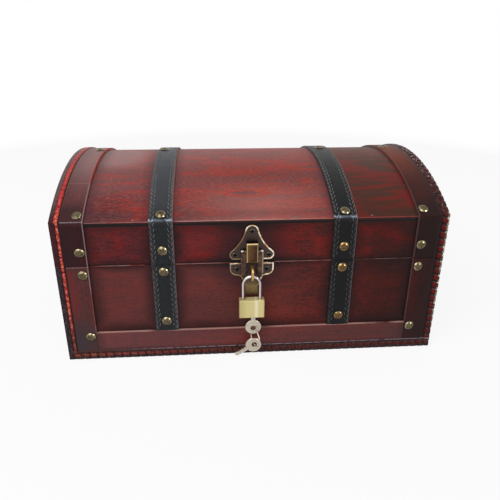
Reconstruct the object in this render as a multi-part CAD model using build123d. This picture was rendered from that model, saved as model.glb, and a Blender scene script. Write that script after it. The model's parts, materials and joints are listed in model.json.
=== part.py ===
from build123d import *
import os
from math import asin, cos, degrees, hypot, radians, sin, sqrt

# A treasure chest box with a curved lid, a hasp, a small padlock and two keys.
# Millimetres. Origin: middle of the underside. X: length, to the right.
# Y: depth, the front is at minus Y. Z: up.

# Overall size, over the notched mouldings
chest_length = 300.0
chest_depth = 200.0
joint_height = 83.0
crease_height = 119.4
crown_height = 146.0

# Boards
board = 6.0
floor_board = 5.0
skin_board = 3.0
lid_gap = 0.4
overrun = 20.0
hair = 0.02

# Notched mouldings on the edges
bead_stand = 3.0
bead_width = 8.0
bead_run = 6.8
bead_sink = 1.0
crest_share = 0.53
corner_share = 0.8
notch_pitch = 6.4
groove_radius = 1.25
notch_depth = 1.1
notch_slant = 25.0

# Flat bands and the bottom rail
band_width = 16.2
band_thick = 2.0
rail_height = 16.5
seam_depth = 58.7
seam_gap = 0.15

# Leather straps
strap_width = 18.0
strap_thick = 1.8
strap_offset = 69.5

# Domed nails
nail_radius = 4.0
nail_dome = 2.1
nail_shank_radius = 0.8
nail_length = 6.0
band_nail_offset = 130.5
base_nail_low = 21.0
base_nail_high = 76.0
strap_nail_low = 33.3
strap_nail_high = 77.0
lid_nail_height = 94.7
crease_nail_run = 5.0
crown_nail_depth = 16.0
crown_nail_aside = 3.0

# Small pins that hold the skin to the rims
pin_radius = 0.7
pin_length = 4.6
pin_edge = 1.5
pins_per_row = 9
pin_row_length = 240.0

# Back hinges
hinge_offset = 104.0
hinge_width = 24.0
hinge_leaf_height = 17.0
hinge_leaf_thick = 1.4
hinge_clear = 0.6
hinge_knuckle_radius = 2.2
hinge_pin_radius = 1.1
hinge_knuckles = 5
knuckle_gap = 0.3
hinge_arm_lap = 1.0
hinge_screw_share = 0.62
hinge_screw_shares = (-0.3, 0.3)
running_fit = 0.06

# Screws
screw_head_radius = 1.7
screw_head_height = 0.8
screw_shank_radius = 0.8
screw_length = 5.5
screw_slot = 0.5
screw_chamfer_share = 0.33

# Latch plates
latch_offset = -1.75
plate_thick = 1.4
plate_recess = 0.45
plate_rim = 1.0
lid_plate_top = 114.0
lid_plate_nose = 5.2
lid_plate_lobe = 4.1
lid_plate_flank = 32.0
lid_plate_half = 17.2
lid_plate_low = 85.6
lid_plate_screw = 109.0
base_plate_top = 82.6
base_plate_ear = 5.4
base_plate_screw = 77.5
base_plate_half = 17.0
base_plate_neck_half = 8.9
base_plate_neck = 71.5
base_plate_tail_half = 7.0
base_plate_shoulder = 67.8
tail_half = 4.9
tail_low = 54.8
tail_thick = 1.1

# Bridge block and hasp leaf
bridge_width = 8.8
bridge_height = 15.8
bridge_stand = 6.2
bridge_bevel = 0.9
hasp_pivot_height = 93.0
hasp_pivot_out = 3.2
hasp_bar_radius = 1.3
hasp_bar_chamfer = 0.32
leaf_half = 8.7
leaf_thick = 1.2
leaf_round = 0.45
leaf_side_clear = 0.35
leaf_sweep_clear = 0.4
leaf_strip = 1.6
leaf_slot_half = 3.5
leaf_tip = 18.4
leaf_shoulder = 20.4
leaf_side_end = 17.6

# Staple, the wire eye on the base
staple_wire = 1.1
staple_height = 11.2
hang_clear = 0.4

# Padlock
padlock_offset = -2.25
padlock_out = 8.0
padlock_width = 19.9
padlock_thick = 6.8
padlock_low = 39.2
padlock_high = 54.7
padlock_round = 0.7
shackle_wire = 1.2
shackle_half = 6.65
shackle_bow_height = 74.2
heel_depth = 9.5
toe_depth = 3.2
hole_spare = 1.0
shackle_fit = 0.1
plug_offset = 1.4
plug_radius = 2.5
plug_length = 10.0

# Keys and ring
key_disc_radius = 6.35
key_hole_radius = 2.2
key_hole_drop = 0.9
key_thick = 1.4
key_blade_width = 3.4
key_blade_thick = 1.1
key_blade_length = 10.8
key_tip = 1.0
key_edge = 0.23
bit_depths = (0.5, 0.8, 0.4, 0.7)
bit_pitch = 1.8
bit_start = 2.16
bit_width = 1.26
keyway_side_clear = 0.12
keyway_end_clear = 0.6
key_disc_height = 29.1
spare_key_offset = -0.55
spare_key_height = 11.95
spare_key_tilt = 31.0
ring_radius = 7.6
ring_wire = 0.55
ring_offset = -0.3
ring_height = 20.3
ring_turn = 68.0
ring_crossing_half = 7.1

# Places worked out from the sizes above
half_length = chest_length / 2
half_depth = chest_depth / 2
board_length = half_length - bead_stand
board_depth = half_depth - bead_stand
inner_length = board_length - board
inner_depth = board_depth - board
base_top = joint_height - lid_gap / 2
lid_low = joint_height + lid_gap / 2
rise = crown_height - crease_height
arch_radius = (half_depth**2 + rise**2) / (2 * rise)
arch_centre = crown_height - arch_radius
skin_radius = arch_radius - bead_stand
rib_radius = skin_radius - skin_board
band_outer = half_length - bead_width
band_inner = band_outer - band_width
bead_low = bead_width
rail_top = bead_low + rail_height
front_face = -board_depth
padlock_y = front_face - padlock_out
padlock_x = padlock_offset
key_x = padlock_x + plug_offset
lid_plate_lobe_x = lid_plate_half - lid_plate_lobe
lid_plate_lobe_z = lid_plate_low + lid_plate_lobe
base_plate_ear_x = base_plate_half - base_plate_ear
base_plate_ear_low = base_plate_screw - base_plate_ear
plate_face = front_face - plate_thick + plate_recess
hasp_y = front_face - hasp_pivot_out
bridge_face = plate_face - bridge_stand
bridge_low = hasp_pivot_height - bridge_height / 2
bridge_high = hasp_pivot_height + bridge_height / 2
bridge_reach = hypot(bridge_height / 2 - bridge_bevel / 2, hasp_y - bridge_face - bridge_bevel / 2)
leaf_window = bridge_reach + leaf_sweep_clear
eye_corner = staple_wire + shackle_wire + hang_clear
eye_out = padlock_y - eye_corner
eye_low = shackle_bow_height - eye_corner
eye_high = eye_low + staple_height - 2 * staple_wire
hinge_y = half_depth + hinge_clear
knuckle_pitch = hinge_width / hinge_knuckles


def crease_at(half, radius):
    """Height where an arch of this radius meets an upright face this far from the middle."""
    return arch_centre + sqrt(radius**2 - half**2)


def block(x, y, z):
    """A box between pairs of places."""
    size = Box(abs(x[1] - x[0]), abs(y[1] - y[0]), abs(z[1] - z[0]))
    return Pos((x[0] + x[1]) / 2, (y[0] + y[1]) / 2, (z[0] + z[1]) / 2) * size


def slab(face, x):
    """A flat shape drawn in y and z, stretched along X between a pair of places."""
    placed = Plane(origin=(x[0], 0, 0), x_dir=(0, 1, 0), z_dir=(1, 0, 0)) * face
    return extrude(placed, amount=x[1] - x[0])


def polygon(points):
    return make_face(Polyline(*points, close=True))


def arch(half, radius, low, x):
    """Everything under an arch, between upright faces, above a level."""
    spring = crease_at(half, radius)
    lines = Polyline((-half, spring), (-half, low), (half, low), (half, spring))
    crown = ThreePointArc((half, spring), (0, arch_centre + radius), (-half, spring))
    return slab(make_face([*lines.edges(), crown]), x)


def under_crease(side):
    """The space below the mitre line of the crease, from the middle out past the front or back."""
    inner = crease_at(board_depth, skin_radius)
    slope = (crease_height - inner) / bead_stand
    far = half_depth + overrun
    near = board_depth - overrun
    points = [
        (side * near, inner - overrun * slope),
        (side * far, crease_height + overrun * slope),
        (side * far, -overrun),
        (side * near, -overrun),
    ]
    return slab(polygon(points), (-chest_length, chest_length))


def on_arch(y, out):
    """A point on the curved skin, raised by out, and the turn about X that stands upright there."""
    tilt = asin(y / skin_radius)
    reach = skin_radius + out
    return (reach * sin(tilt), arch_centre + reach * cos(tilt), -degrees(tilt))


def rod(place, direction, radius, length):
    """A round rod from a place along a direction."""
    return Plane(origin=place, z_dir=direction) * extrude(Circle(radius), amount=length)


def ball_cap(radius, height):
    """A low dome of this foot radius and height, standing on the XY plane."""
    ball = (radius**2 + height**2) / (2 * height)
    dome = Pos(0, 0, height - ball) * Sphere(ball)
    return dome & block((-radius, radius), (-radius, radius), (0, height))


def cut(shape, tools):
    """The shape less every tool that reaches it."""
    box = shape.bounding_box()
    near = [t for t in tools if box.overlaps(t.bounding_box())]
    return shape - near if near else shape


# Carcass of the base
def base_board_front(side):
    y = sorted((side * inner_depth, side * board_depth))
    return block((-inner_length, inner_length), y, (0, base_top))


def base_board_end(side):
    x = sorted((side * inner_length, side * board_length))
    return block(x, (-board_depth, board_depth), (0, base_top))


def base_floor():
    return block((-inner_length, inner_length), (-inner_depth, inner_depth), (0, floor_board))


# Carcass of the lid
def lid_rim(side):
    whole = arch(board_depth, rib_radius, lid_low, (-inner_length, inner_length))
    y = sorted((side * inner_depth, side * (board_depth + overrun)))
    return whole & block((-chest_length, chest_length), y, (0, 2 * crown_height))


def lid_end(side):
    x = sorted((side * inner_length, side * board_length))
    return arch(board_depth, rib_radius, lid_low, x)


def lid_skin():
    outer = arch(board_depth, skin_radius, joint_height, (-board_length, board_length))
    inner = arch(board_depth + overrun, rib_radius, -overrun, (-chest_length, chest_length))
    return outer - inner


# Notched mouldings. Their profile is drawn in v, outward along the face, and w, out of the face.
def bead_profile():
    """A round bead on each face of a corner, with a flat margin beside it. The corner is 0, 0."""
    inner = (-bead_width, -bead_stand)
    margin = (-bead_width, -bead_sink)
    foot = (-bead_run, -bead_sink)
    crest = (-bead_run * crest_share, 0)
    corner = (-bead_sink * corner_share, -bead_sink * corner_share)
    lines = Polyline((-bead_stand, -bead_stand), inner, margin, foot)
    front = ThreePointArc(foot, crest, corner)
    side = ThreePointArc(corner, crest[::-1], foot[::-1])
    back = Polyline(foot[::-1], margin[::-1], inner[::-1], (-bead_stand, -bead_stand))
    return make_face([*lines.edges(), front, side, *back.edges()])


def flat_bead_profile():
    """The same profile without the leg round the corner."""
    leg = Pos(-bead_width / 2, -bead_stand / 2) * Rectangle(bead_width, bead_stand)
    return bead_profile() & leg


def face_frame(place, v, w):
    return Plane(origin=place, x_dir=v, z_dir=w)


def strip_along(place, v, w, profile, length):
    """A strip of a profile, from a place on the corner line, towards v cross w."""
    along = Vector(v).cross(Vector(w))
    return extrude(Plane(origin=place, x_dir=v, z_dir=along) * profile, amount=length)


def groove(place, v, w, slant):
    """A slanted groove over the bead of one face, from the margin out past the corner."""
    length = (bead_run + groove_radius) / cos(radians(slant))
    bar = Pos(groove_radius / 2 - bead_run / 2, 0, groove_radius - notch_depth)
    bar = bar * Rot(0, 0, slant) * Rot(0, 90, 0) * Cylinder(groove_radius, length)
    return face_frame(place, v, w) * bar


def notch_places(start, end):
    """Evenly spaced places along an edge, a whole number of pitches."""
    count = max(1, round((end - start) / notch_pitch))
    step = (end - start) / count
    return [start + step * (i + 0.5) for i in range(count)]


def corner_bead(side_x, side_y, low, high):
    """The notched strip on an upright corner."""
    v = (side_x, 0, 0)
    w = (0, side_y, 0)
    if side_x * side_y < 0:
        v, w = w, v
    corner = (side_x * half_length, side_y * half_depth, 0)
    strip = Pos(0, 0, low) * strip_along(corner, v, w, bead_profile(), high - low)
    grooves = []
    for z in notch_places(max(low, bead_low), min(high, crease_height)):
        place = (corner[0], corner[1], z)
        grooves.append(groove(place, (side_x, 0, 0), (0, side_y, 0), notch_slant))
        grooves.append(groove(place, (0, side_y, 0), (side_x, 0, 0), 0))
    return cut(strip, grooves)


def mitre_along_x():
    """The space under the mitre lines at both ends of a bottom moulding along X."""
    shoulder = half_length - half_depth
    points = [(-half_length, 0), (half_length, 0), (shoulder, half_depth), (-shoulder, half_depth)]
    return extrude(Plane.XZ * polygon(points), amount=chest_depth, both=True)


def mitre_along_y():
    """The space under the mitre lines at both ends of a bottom moulding along Y."""
    points = [(-half_depth, 0), (half_depth, 0), (0, half_depth)]
    return slab(polygon(points), (-chest_length, chest_length))


def base_corner_bead(side_x, side_y):
    """An upright strip of the base, mitred to the bottom mouldings."""
    return corner_bead(side_x, side_y, 0, base_top) - [mitre_along_x(), mitre_along_y()]


def lid_corner_bead(side_x, side_y):
    return corner_bead(side_x, side_y, lid_low, crown_height) & under_crease(side_y)


def bottom_bead_long(side):
    """Front or back bottom moulding, mitred at both ends."""
    v = (0, 0, -1)
    w = (0, side, 0)
    start = (-side * half_length, side * half_depth, 0)
    shoulder = half_length - half_depth
    plan = polygon(
        [
            (-half_length, side * half_depth),
            (half_length, side * half_depth),
            (shoulder, 0),
            (-shoulder, 0),
        ]
    )
    strip = strip_along(start, v, w, flat_bead_profile(), chest_length)
    strip = strip & mitre_along_x() & extrude(plan, amount=crown_height)
    spots = notch_places(bead_width - half_length, half_length - bead_width)
    grooves = [groove((x, side * half_depth, 0), v, w, notch_slant) for x in spots]
    return cut(strip, grooves)


def bottom_bead_end(side):
    """Left or right bottom moulding, mitred at both ends."""
    v = (0, 0, -1)
    w = (side, 0, 0)
    start = (side * half_length, side * half_depth, 0)
    plan = polygon(
        [
            (side * half_length, -half_depth),
            (side * half_length, half_depth),
            (side * (half_length - half_depth), 0),
        ]
    )
    strip = strip_along(start, v, w, flat_bead_profile(), chest_depth)
    strip = strip & mitre_along_y() & extrude(plan, amount=crown_height)
    spots = notch_places(bead_width - half_depth, half_depth - bead_width)
    grooves = [groove((side * half_length, y, 0), v, w, notch_slant) for y in spots]
    return cut(strip, grooves)


def arch_bead(side):
    """The notched strip over one end of the lid."""
    sweep = degrees(asin(half_depth / arch_radius))
    spare = degrees(bead_width / arch_radius)
    top = (side * half_length, 0, crown_height)
    frame = Plane(origin=top, x_dir=(side, 0, 0), z_dir=(0, -side, 0))
    turning = Axis((0, 0, arch_centre), (1, 0, 0))
    half = revolve(frame * bead_profile(), axis=turning, revolution_arc=sweep + spare)
    strip = half + mirror(half, about=Plane.XZ)
    strip -= [under_crease(-1), under_crease(1)]
    count = round(2 * sweep / degrees(notch_pitch / arch_radius))
    grooves = []
    for i in range(count):
        lean = radians(2 * sweep * (i + 0.5) / count - sweep)
        out = (0, sin(lean), cos(lean))
        place = (side * half_length, arch_radius * out[1], arch_centre + arch_radius * out[2])
        grooves.append(groove(place, (side, 0, 0), out, notch_slant * side))
        grooves.append(groove(place, out, (side, 0, 0), 0))
    return cut(strip, grooves)


# Flat bands and rail
def band_x(side):
    return sorted((side * band_inner, side * band_outer))


def base_band(side_x, side_y):
    y = sorted((side_y * board_depth, side_y * (board_depth + band_thick)))
    return block(band_x(side_x), y, (bead_low, base_top))


def front_rail():
    y = (front_face - band_thick, front_face)
    return block((-band_inner, band_inner), y, (bead_low, rail_top))


def lid_shell(x, thick):
    """A layer that lies on the rims and the curved skin."""
    outer = arch(board_depth + thick, skin_radius + thick, lid_low, x)
    return outer - arch(board_depth, skin_radius, -overrun, (-chest_length, chest_length))


def lid_rim_band(side_x, side_y):
    return lid_shell(band_x(side_x), band_thick) & under_crease(side_y)


def lid_arch_band(side):
    return lid_shell(band_x(side), band_thick) - [under_crease(-1), under_crease(1)]


def lid_arch_band_left(front):
    """The left arch band is in two lengths that meet at a seam."""
    whole = lid_arch_band(-1)
    if front:
        y = (-chest_depth, -seam_depth - seam_gap / 2)
    else:
        y = (-seam_depth + seam_gap / 2, chest_depth)
    return whole & block((-chest_length, chest_length), y, (0, 2 * crown_height))


# Leather straps
def strap_x(side):
    middle = side * strap_offset
    return (middle - strap_width / 2, middle + strap_width / 2)


def base_strap(side_x, side_y):
    y = sorted((side_y * board_depth, side_y * (board_depth + strap_thick)))
    return block(strap_x(side_x), y, (rail_top, base_top))


def lid_strap(side):
    return lid_shell(strap_x(side), strap_thick)


# Domed nails: place, direction outward
def base_nail_places():
    places = []
    for side_y in (-1, 1):
        for side_x in (-1, 1):
            for z in (base_nail_low, base_nail_high):
                y = side_y * (board_depth + band_thick)
                places.append(((side_x * band_nail_offset, y, z), (0, side_y, 0)))
            for z in (strap_nail_low, strap_nail_high):
                y = side_y * (board_depth + strap_thick)
                places.append(((side_x * strap_offset, y, z), (0, side_y, 0)))
    return places


def lid_nail_places():
    places = []
    trims = ((band_nail_offset, band_thick), (strap_offset, strap_thick))
    near_crease = board_depth - crease_nail_run
    for x, thick in trims:
        for side_x in (-1, 1):
            for side_y in (-1, 1):
                y = side_y * (board_depth + thick)
                places.append(((side_x * x, y, lid_nail_height), (0, side_y, 0)))
            for place_y in (-near_crease, crown_nail_depth, near_crease):
                y, z, turn = on_arch(place_y, thick)
                out = (0, -sin(radians(turn)), cos(radians(turn)))
                is_slipped = x == strap_offset and side_x < 0 and place_y == crown_nail_depth
                aside = crown_nail_aside if is_slipped else 0
                places.append(((side_x * (x + aside), y, z), out))
    return places


def nail(place, out):
    frame = Plane(origin=place, z_dir=out)
    shank = Pos(0, 0, -nail_length) * extrude(Circle(nail_shank_radius), amount=nail_length)
    return frame * (ball_cap(nail_radius, nail_dome) + shank)


def nail_hole(place, out):
    back = tuple(-c for c in out)
    start = tuple(p + c * nail_dome for p, c in zip(place, out))
    return rod(start, back, nail_shank_radius + hair, nail_length + nail_dome + hair)


# Pins along both long edges of the skin
def pin_places():
    places = []
    step = pin_row_length / (pins_per_row - 1)
    for side_y in (-1, 1):
        for i in range(pins_per_row):
            x = -pin_row_length / 2 + step * i
            y, z, turn = on_arch(side_y * (board_depth - pin_edge), 0)
            if all(abs(abs(x) - trim) > strap_width for trim in (strap_offset, band_nail_offset)):
                out = (0, -sin(radians(turn)), cos(radians(turn)))
                places.append(((x, y, z), out))
    return places


def skin_pin(place, out):
    back = tuple(-c for c in out)
    return rod(place, back, pin_radius, pin_length)


def pin_hole(place, out):
    back = tuple(-c for c in out)
    start = tuple(p + c * pin_radius for p, c in zip(place, out))
    return rod(start, back, pin_radius + hair, pin_length + pin_radius + hair)


# Screws: place on the metal they hold, direction outward
def screw(place, out):
    frame = Plane(origin=place, z_dir=out)
    head = extrude(Circle(screw_head_radius), amount=screw_head_height)
    head = chamfer(head.edges().sort_by(Axis.Z)[-1], screw_head_height * screw_chamfer_share)
    top = (screw_head_height / 2, screw_head_height)
    bar = (-screw_head_radius, screw_head_radius)
    slit = (-screw_slot / 2, screw_slot / 2)
    head -= [block(bar, slit, top), block(slit, bar, top)]
    shank = Pos(0, 0, -screw_length) * extrude(Circle(screw_shank_radius), amount=screw_length)
    return frame * (head + shank)


def screw_hole(place, out):
    back = tuple(-c for c in out)
    start = tuple(p + c * screw_head_height for p, c in zip(place, out))
    return rod(start, back, screw_shank_radius + hair, screw_length + screw_head_height + hair)


def lid_screw_places():
    spots = [
        (0, lid_plate_screw),
        (-lid_plate_lobe_x, lid_plate_lobe_z),
        (lid_plate_lobe_x, lid_plate_lobe_z),
    ]
    return [((latch_offset + x, plate_face, z), (0, -1, 0)) for x, z in spots]


def base_screw_places():
    spots = [-base_plate_ear_x, base_plate_ear_x]
    return [((latch_offset + x, plate_face, base_plate_screw), (0, -1, 0)) for x in spots]


def hinge_screw_places(side_z):
    """Two screws in each leaf, on one side of the joint."""
    z = joint_height + side_z * hinge_leaf_height * hinge_screw_share
    y = board_depth + hinge_leaf_thick
    return [
        ((side_x * hinge_offset + hinge_width * share, y, z), (0, 1, 0))
        for side_x in (-1, 1)
        for share in hinge_screw_shares
    ]


# Back hinges
def hinge_leaf(side_x, side_z):
    """One leaf with its share of the knuckles."""
    middle = side_x * hinge_offset
    x = (middle - hinge_width / 2, middle + hinge_width / 2)
    near = joint_height + side_z * (hinge_knuckle_radius + knuckle_gap)
    z = sorted((near, joint_height + side_z * hinge_leaf_height))
    y = (board_depth, board_depth + hinge_leaf_thick)
    leaf = block(x, y, z)
    web_y = (board_depth + knuckle_gap, hinge_y)
    web_z = sorted((joint_height, near))
    arm_y = (board_depth + knuckle_gap, y[1])
    arm_z = sorted((joint_height, near + side_z * hinge_arm_lap))
    wanted = range(0, hinge_knuckles, 2) if side_z < 0 else range(1, hinge_knuckles, 2)
    for i in wanted:
        low = x[0] + i * knuckle_pitch + knuckle_gap / 2
        high = low + knuckle_pitch - knuckle_gap
        barrel = rod((low, hinge_y, joint_height), (1, 0, 0), hinge_knuckle_radius, high - low)
        leaf += [barrel, block((low, high), web_y, web_z), block((low, high), arm_y, arm_z)]
    bore_start = (x[0] - overrun, hinge_y, joint_height)
    return leaf - rod(bore_start, (1, 0, 0), hinge_pin_radius + running_fit, chest_length)


def hinge_pins():
    pins = []
    for side in (-1, 1):
        start = side * hinge_offset - hinge_width / 2
        pins.append(rod((start, hinge_y, joint_height), (1, 0, 0), hinge_pin_radius, hinge_width))
    return pins


# Latch
def plate_layers(outline):
    """A thin plate with a raised rim along its edge, from an outline on the front face."""
    body = extrude(outline, amount=plate_thick)
    sunk = offset(outline, amount=-plate_rim, kind=Kind.ARC)
    body -= Pos(0, -plate_thick + plate_recess, 0) * extrude(sunk, amount=overrun)
    return body


def disc_outline(x, z, radius):
    frame = Plane(origin=(latch_offset, front_face, 0), x_dir=(1, 0, 0), z_dir=(0, -1, 0))
    return frame * (Pos(x, z) * Circle(radius))


def flat_outline(points):
    frame = Plane(origin=(latch_offset, front_face, 0), x_dir=(1, 0, 0), z_dir=(0, -1, 0))
    return frame * polygon(points)


def hollow_flank(side, x0, z0, r0, x1, z1, r1, radius):
    """The metal between two rounds, with a hollow side of this radius that runs into both."""
    span = hypot(x1 - x0, z1 - z0)
    ux = (x1 - x0) / span
    uz = (z1 - z0) / span
    run = ((radius + r0) ** 2 - (radius + r1) ** 2 + span**2) / (2 * span)
    reach = sqrt((radius + r0) ** 2 - run**2)
    x = x0 + run * ux - side * reach * uz
    z = z0 + run * uz + side * reach * ux
    return flat_outline([(x0, z0), (x, z), (x1, z1)]) - disc_outline(x, z, radius)


def lid_plate():
    nose_z = lid_plate_top - lid_plate_nose
    lobe_x = lid_plate_lobe_x
    lobe_z = lid_plate_lobe_z
    outline = disc_outline(0, nose_z, lid_plate_nose)
    for side in (-1, 1):
        nose = (0, nose_z, lid_plate_nose)
        lobe = (side * lobe_x, lobe_z, lid_plate_lobe)
        outline += disc_outline(*lobe)
        outline += hollow_flank(side, *nose, *lobe, lid_plate_flank)
    outline += flat_outline(
        [
            (-lobe_x, lid_plate_low),
            (lobe_x, lid_plate_low),
            (lobe_x, lobe_z),
            (0, nose_z),
            (-lobe_x, lobe_z),
        ]
    )
    plate = plate_layers(outline)
    foot = (latch_offset - bridge_width / 2 - hair, latch_offset + bridge_width / 2 + hair)
    plate -= block(foot, (bridge_face, plate_face), (bridge_low, bridge_high + hair))
    return cut(plate, [screw_hole(*p) for p in lid_screw_places()])


def base_plate():
    outline = flat_outline(
        [
            (-base_plate_half, base_plate_top),
            (base_plate_half, base_plate_top),
            (base_plate_half, base_plate_screw),
            (base_plate_ear_x, base_plate_ear_low),
            (base_plate_neck_half, base_plate_neck),
            (base_plate_tail_half, base_plate_shoulder),
            (-base_plate_tail_half, base_plate_shoulder),
            (-base_plate_neck_half, base_plate_neck),
            (-base_plate_ear_x, base_plate_ear_low),
            (-base_plate_half, base_plate_screw),
        ]
    )
    for side in (-1, 1):
        outline += disc_outline(side * base_plate_ear_x, base_plate_screw, base_plate_ear)
    outline += disc_outline(0, base_plate_shoulder, base_plate_tail_half)
    plate = plate_layers(outline)
    tail_x = (latch_offset - tail_half, latch_offset + tail_half)
    plate += block(tail_x, (front_face - tail_thick, front_face), (tail_low, base_plate_shoulder))
    holes = [screw_hole(*p) for p in base_screw_places()]
    for z in (eye_low, eye_high):
        start = (latch_offset, front_face + overrun, z)
        holes.append(rod(start, (0, -1, 0), staple_wire + hair, 2 * overrun))
    return cut(plate, holes)


def bridge():
    x = (latch_offset - bridge_width / 2, latch_offset + bridge_width / 2)
    shape = block(x, (bridge_face, plate_face), (bridge_low, bridge_high))
    shape = chamfer(shape.faces().sort_by(Axis.Y)[0].edges(), bridge_bevel)
    start = (x[0] - overrun, hasp_y, hasp_pivot_height)
    return shape - rod(start, (1, 0, 0), hasp_bar_radius + running_fit, 2 * overrun + bridge_width)


def hasp_leaf():
    """A forked plate on a round bar: a window for the bridge and an open slot for the staple."""
    tip_half = (leaf_slot_half + leaf_half) / 2
    points = [(-leaf_half, hasp_pivot_height), (leaf_half, hasp_pivot_height)]
    right = [
        (leaf_half, hasp_pivot_height - leaf_side_end),
        (tip_half + leaf_strip / 2, hasp_pivot_height - leaf_shoulder),
        (leaf_slot_half, hasp_pivot_height - leaf_tip),
    ]
    points += right
    points += [(-x, z) for x, z in reversed(right)]
    face = flat_outline(points)
    plate = extrude(face, amount=leaf_thick)
    plate = Pos(0, leaf_thick / 2 - hasp_pivot_out, 0) * plate
    sides = plate.edges().filter_by(Axis.Z).sort_by(Axis.Y)[:2]
    plate = fillet(sides, leaf_round)
    y = (hasp_y - leaf_thick, hasp_y + leaf_thick)
    window = bridge_width / 2 + leaf_side_clear
    middle = latch_offset
    window_z = (hasp_pivot_height - leaf_window, crown_height)
    plate -= block((middle - window, middle + window), y, window_z)
    slot_x = (middle - leaf_slot_half, middle + leaf_slot_half)
    plate -= block(slot_x, y, (0, hasp_pivot_height - leaf_window - leaf_strip))
    start = (middle - leaf_half, hasp_y, hasp_pivot_height)
    bar = rod(start, (1, 0, 0), hasp_bar_radius, 2 * leaf_half)
    return plate + chamfer(bar.edges(), hasp_bar_chamfer)


def staple():
    path = FilletPolyline(
        (latch_offset, front_face, eye_low),
        (latch_offset, eye_out, eye_low),
        (latch_offset, eye_out, eye_high),
        (latch_offset, front_face, eye_high),
        radius=eye_corner,
    )
    start = Plane(origin=(latch_offset, front_face, eye_low), z_dir=(0, -1, 0))
    return sweep(start * Circle(staple_wire), path=path)


# Padlock
def shackle():
    left = padlock_x - shackle_half
    right = padlock_x + shackle_half
    spring = shackle_bow_height - shackle_half
    heel = Line((left, padlock_y, padlock_high - heel_depth), (left, padlock_y, spring))
    bow = ThreePointArc(heel @ 1, (padlock_x, padlock_y, shackle_bow_height), (right, padlock_y, spring))
    toe = Line(bow @ 1, (right, padlock_y, padlock_high - toe_depth))
    start = Plane(origin=heel @ 0, z_dir=(0, 0, 1))
    return sweep(start * Circle(shackle_wire), path=Wire([heel, bow, toe]))


def padlock_body():
    x = (padlock_x - padlock_width / 2, padlock_x + padlock_width / 2)
    y = (padlock_y - padlock_thick / 2, padlock_y + padlock_thick / 2)
    body = block(x, y, (padlock_low, padlock_high))
    body = fillet(body.edges(), padlock_round)
    for side, depth in ((-1, heel_depth), (1, toe_depth)):
        place = (padlock_x + side * shackle_half, padlock_y, padlock_high - depth - hole_spare)
        body -= rod(place, (0, 0, 1), shackle_wire + shackle_fit, depth + overrun)
    start = (key_x, padlock_y, padlock_low - overrun)
    return body - rod(start, (0, 0, 1), plug_radius + running_fit, overrun + plug_length + hang_clear)


def padlock_plug():
    plug = rod((key_x, padlock_y, padlock_low), (0, 0, 1), plug_radius, plug_length)
    half = key_blade_width / 2 + keyway_side_clear
    thin = key_blade_thick / 2 + keyway_side_clear
    depth = key_disc_height + key_disc_radius + key_blade_length + keyway_end_clear
    slot = block((key_x - half, key_x + half), (padlock_y - thin, padlock_y + thin), (0, depth))
    return plug - slot


# Keys and ring
def key_blank():
    """A flat key with a round bow. The bow's middle is the origin and the blade points up."""
    half = key_thick / 2
    bow = Rot(90, 0, 0) * Cylinder(key_disc_radius, key_thick)
    bow = chamfer(bow.edges().filter_by(GeomType.CIRCLE), key_edge)
    top = key_disc_radius + key_blade_length
    blade = key_blade_width / 2
    thin = key_blade_thick / 2
    points = [
        (-blade, 0),
        (blade, 0),
        (blade, top - key_tip),
        (key_tip / 2, top),
        (-key_tip / 2, top),
        (-blade, top - key_tip),
    ]
    shank = extrude(Plane.XZ * polygon(points), amount=thin, both=True)
    for i, depth in enumerate(bit_depths):
        high = top - bit_start - bit_pitch * i
        shank -= block((blade - depth, blade + overrun), (-half, half), (high - bit_width, high))
    hole = Pos(0, 0, -key_hole_drop) * Rot(90, 0, 0) * Cylinder(key_hole_radius, overrun)
    return bow + shank - hole


def key_in_lock():
    return Pos(key_x, padlock_y, key_disc_height) * key_blank()


def spare_key():
    place = Pos(spare_key_offset, padlock_y, spare_key_height)
    return place * Rot(0, -(90 + spare_key_tilt), 0) * key_blank()


def key_ring():
    shift = sqrt(ring_radius**2 - ring_crossing_half**2)
    along = (cos(radians(ring_turn)), -sin(radians(ring_turn)))
    place = (ring_offset + shift * along[0], padlock_y + shift * along[1], ring_height)
    frame = Plane(origin=place, x_dir=(0, 0, 1), z_dir=(-along[1], along[0], 0))
    return frame * Torus(ring_radius, ring_wire)


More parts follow.
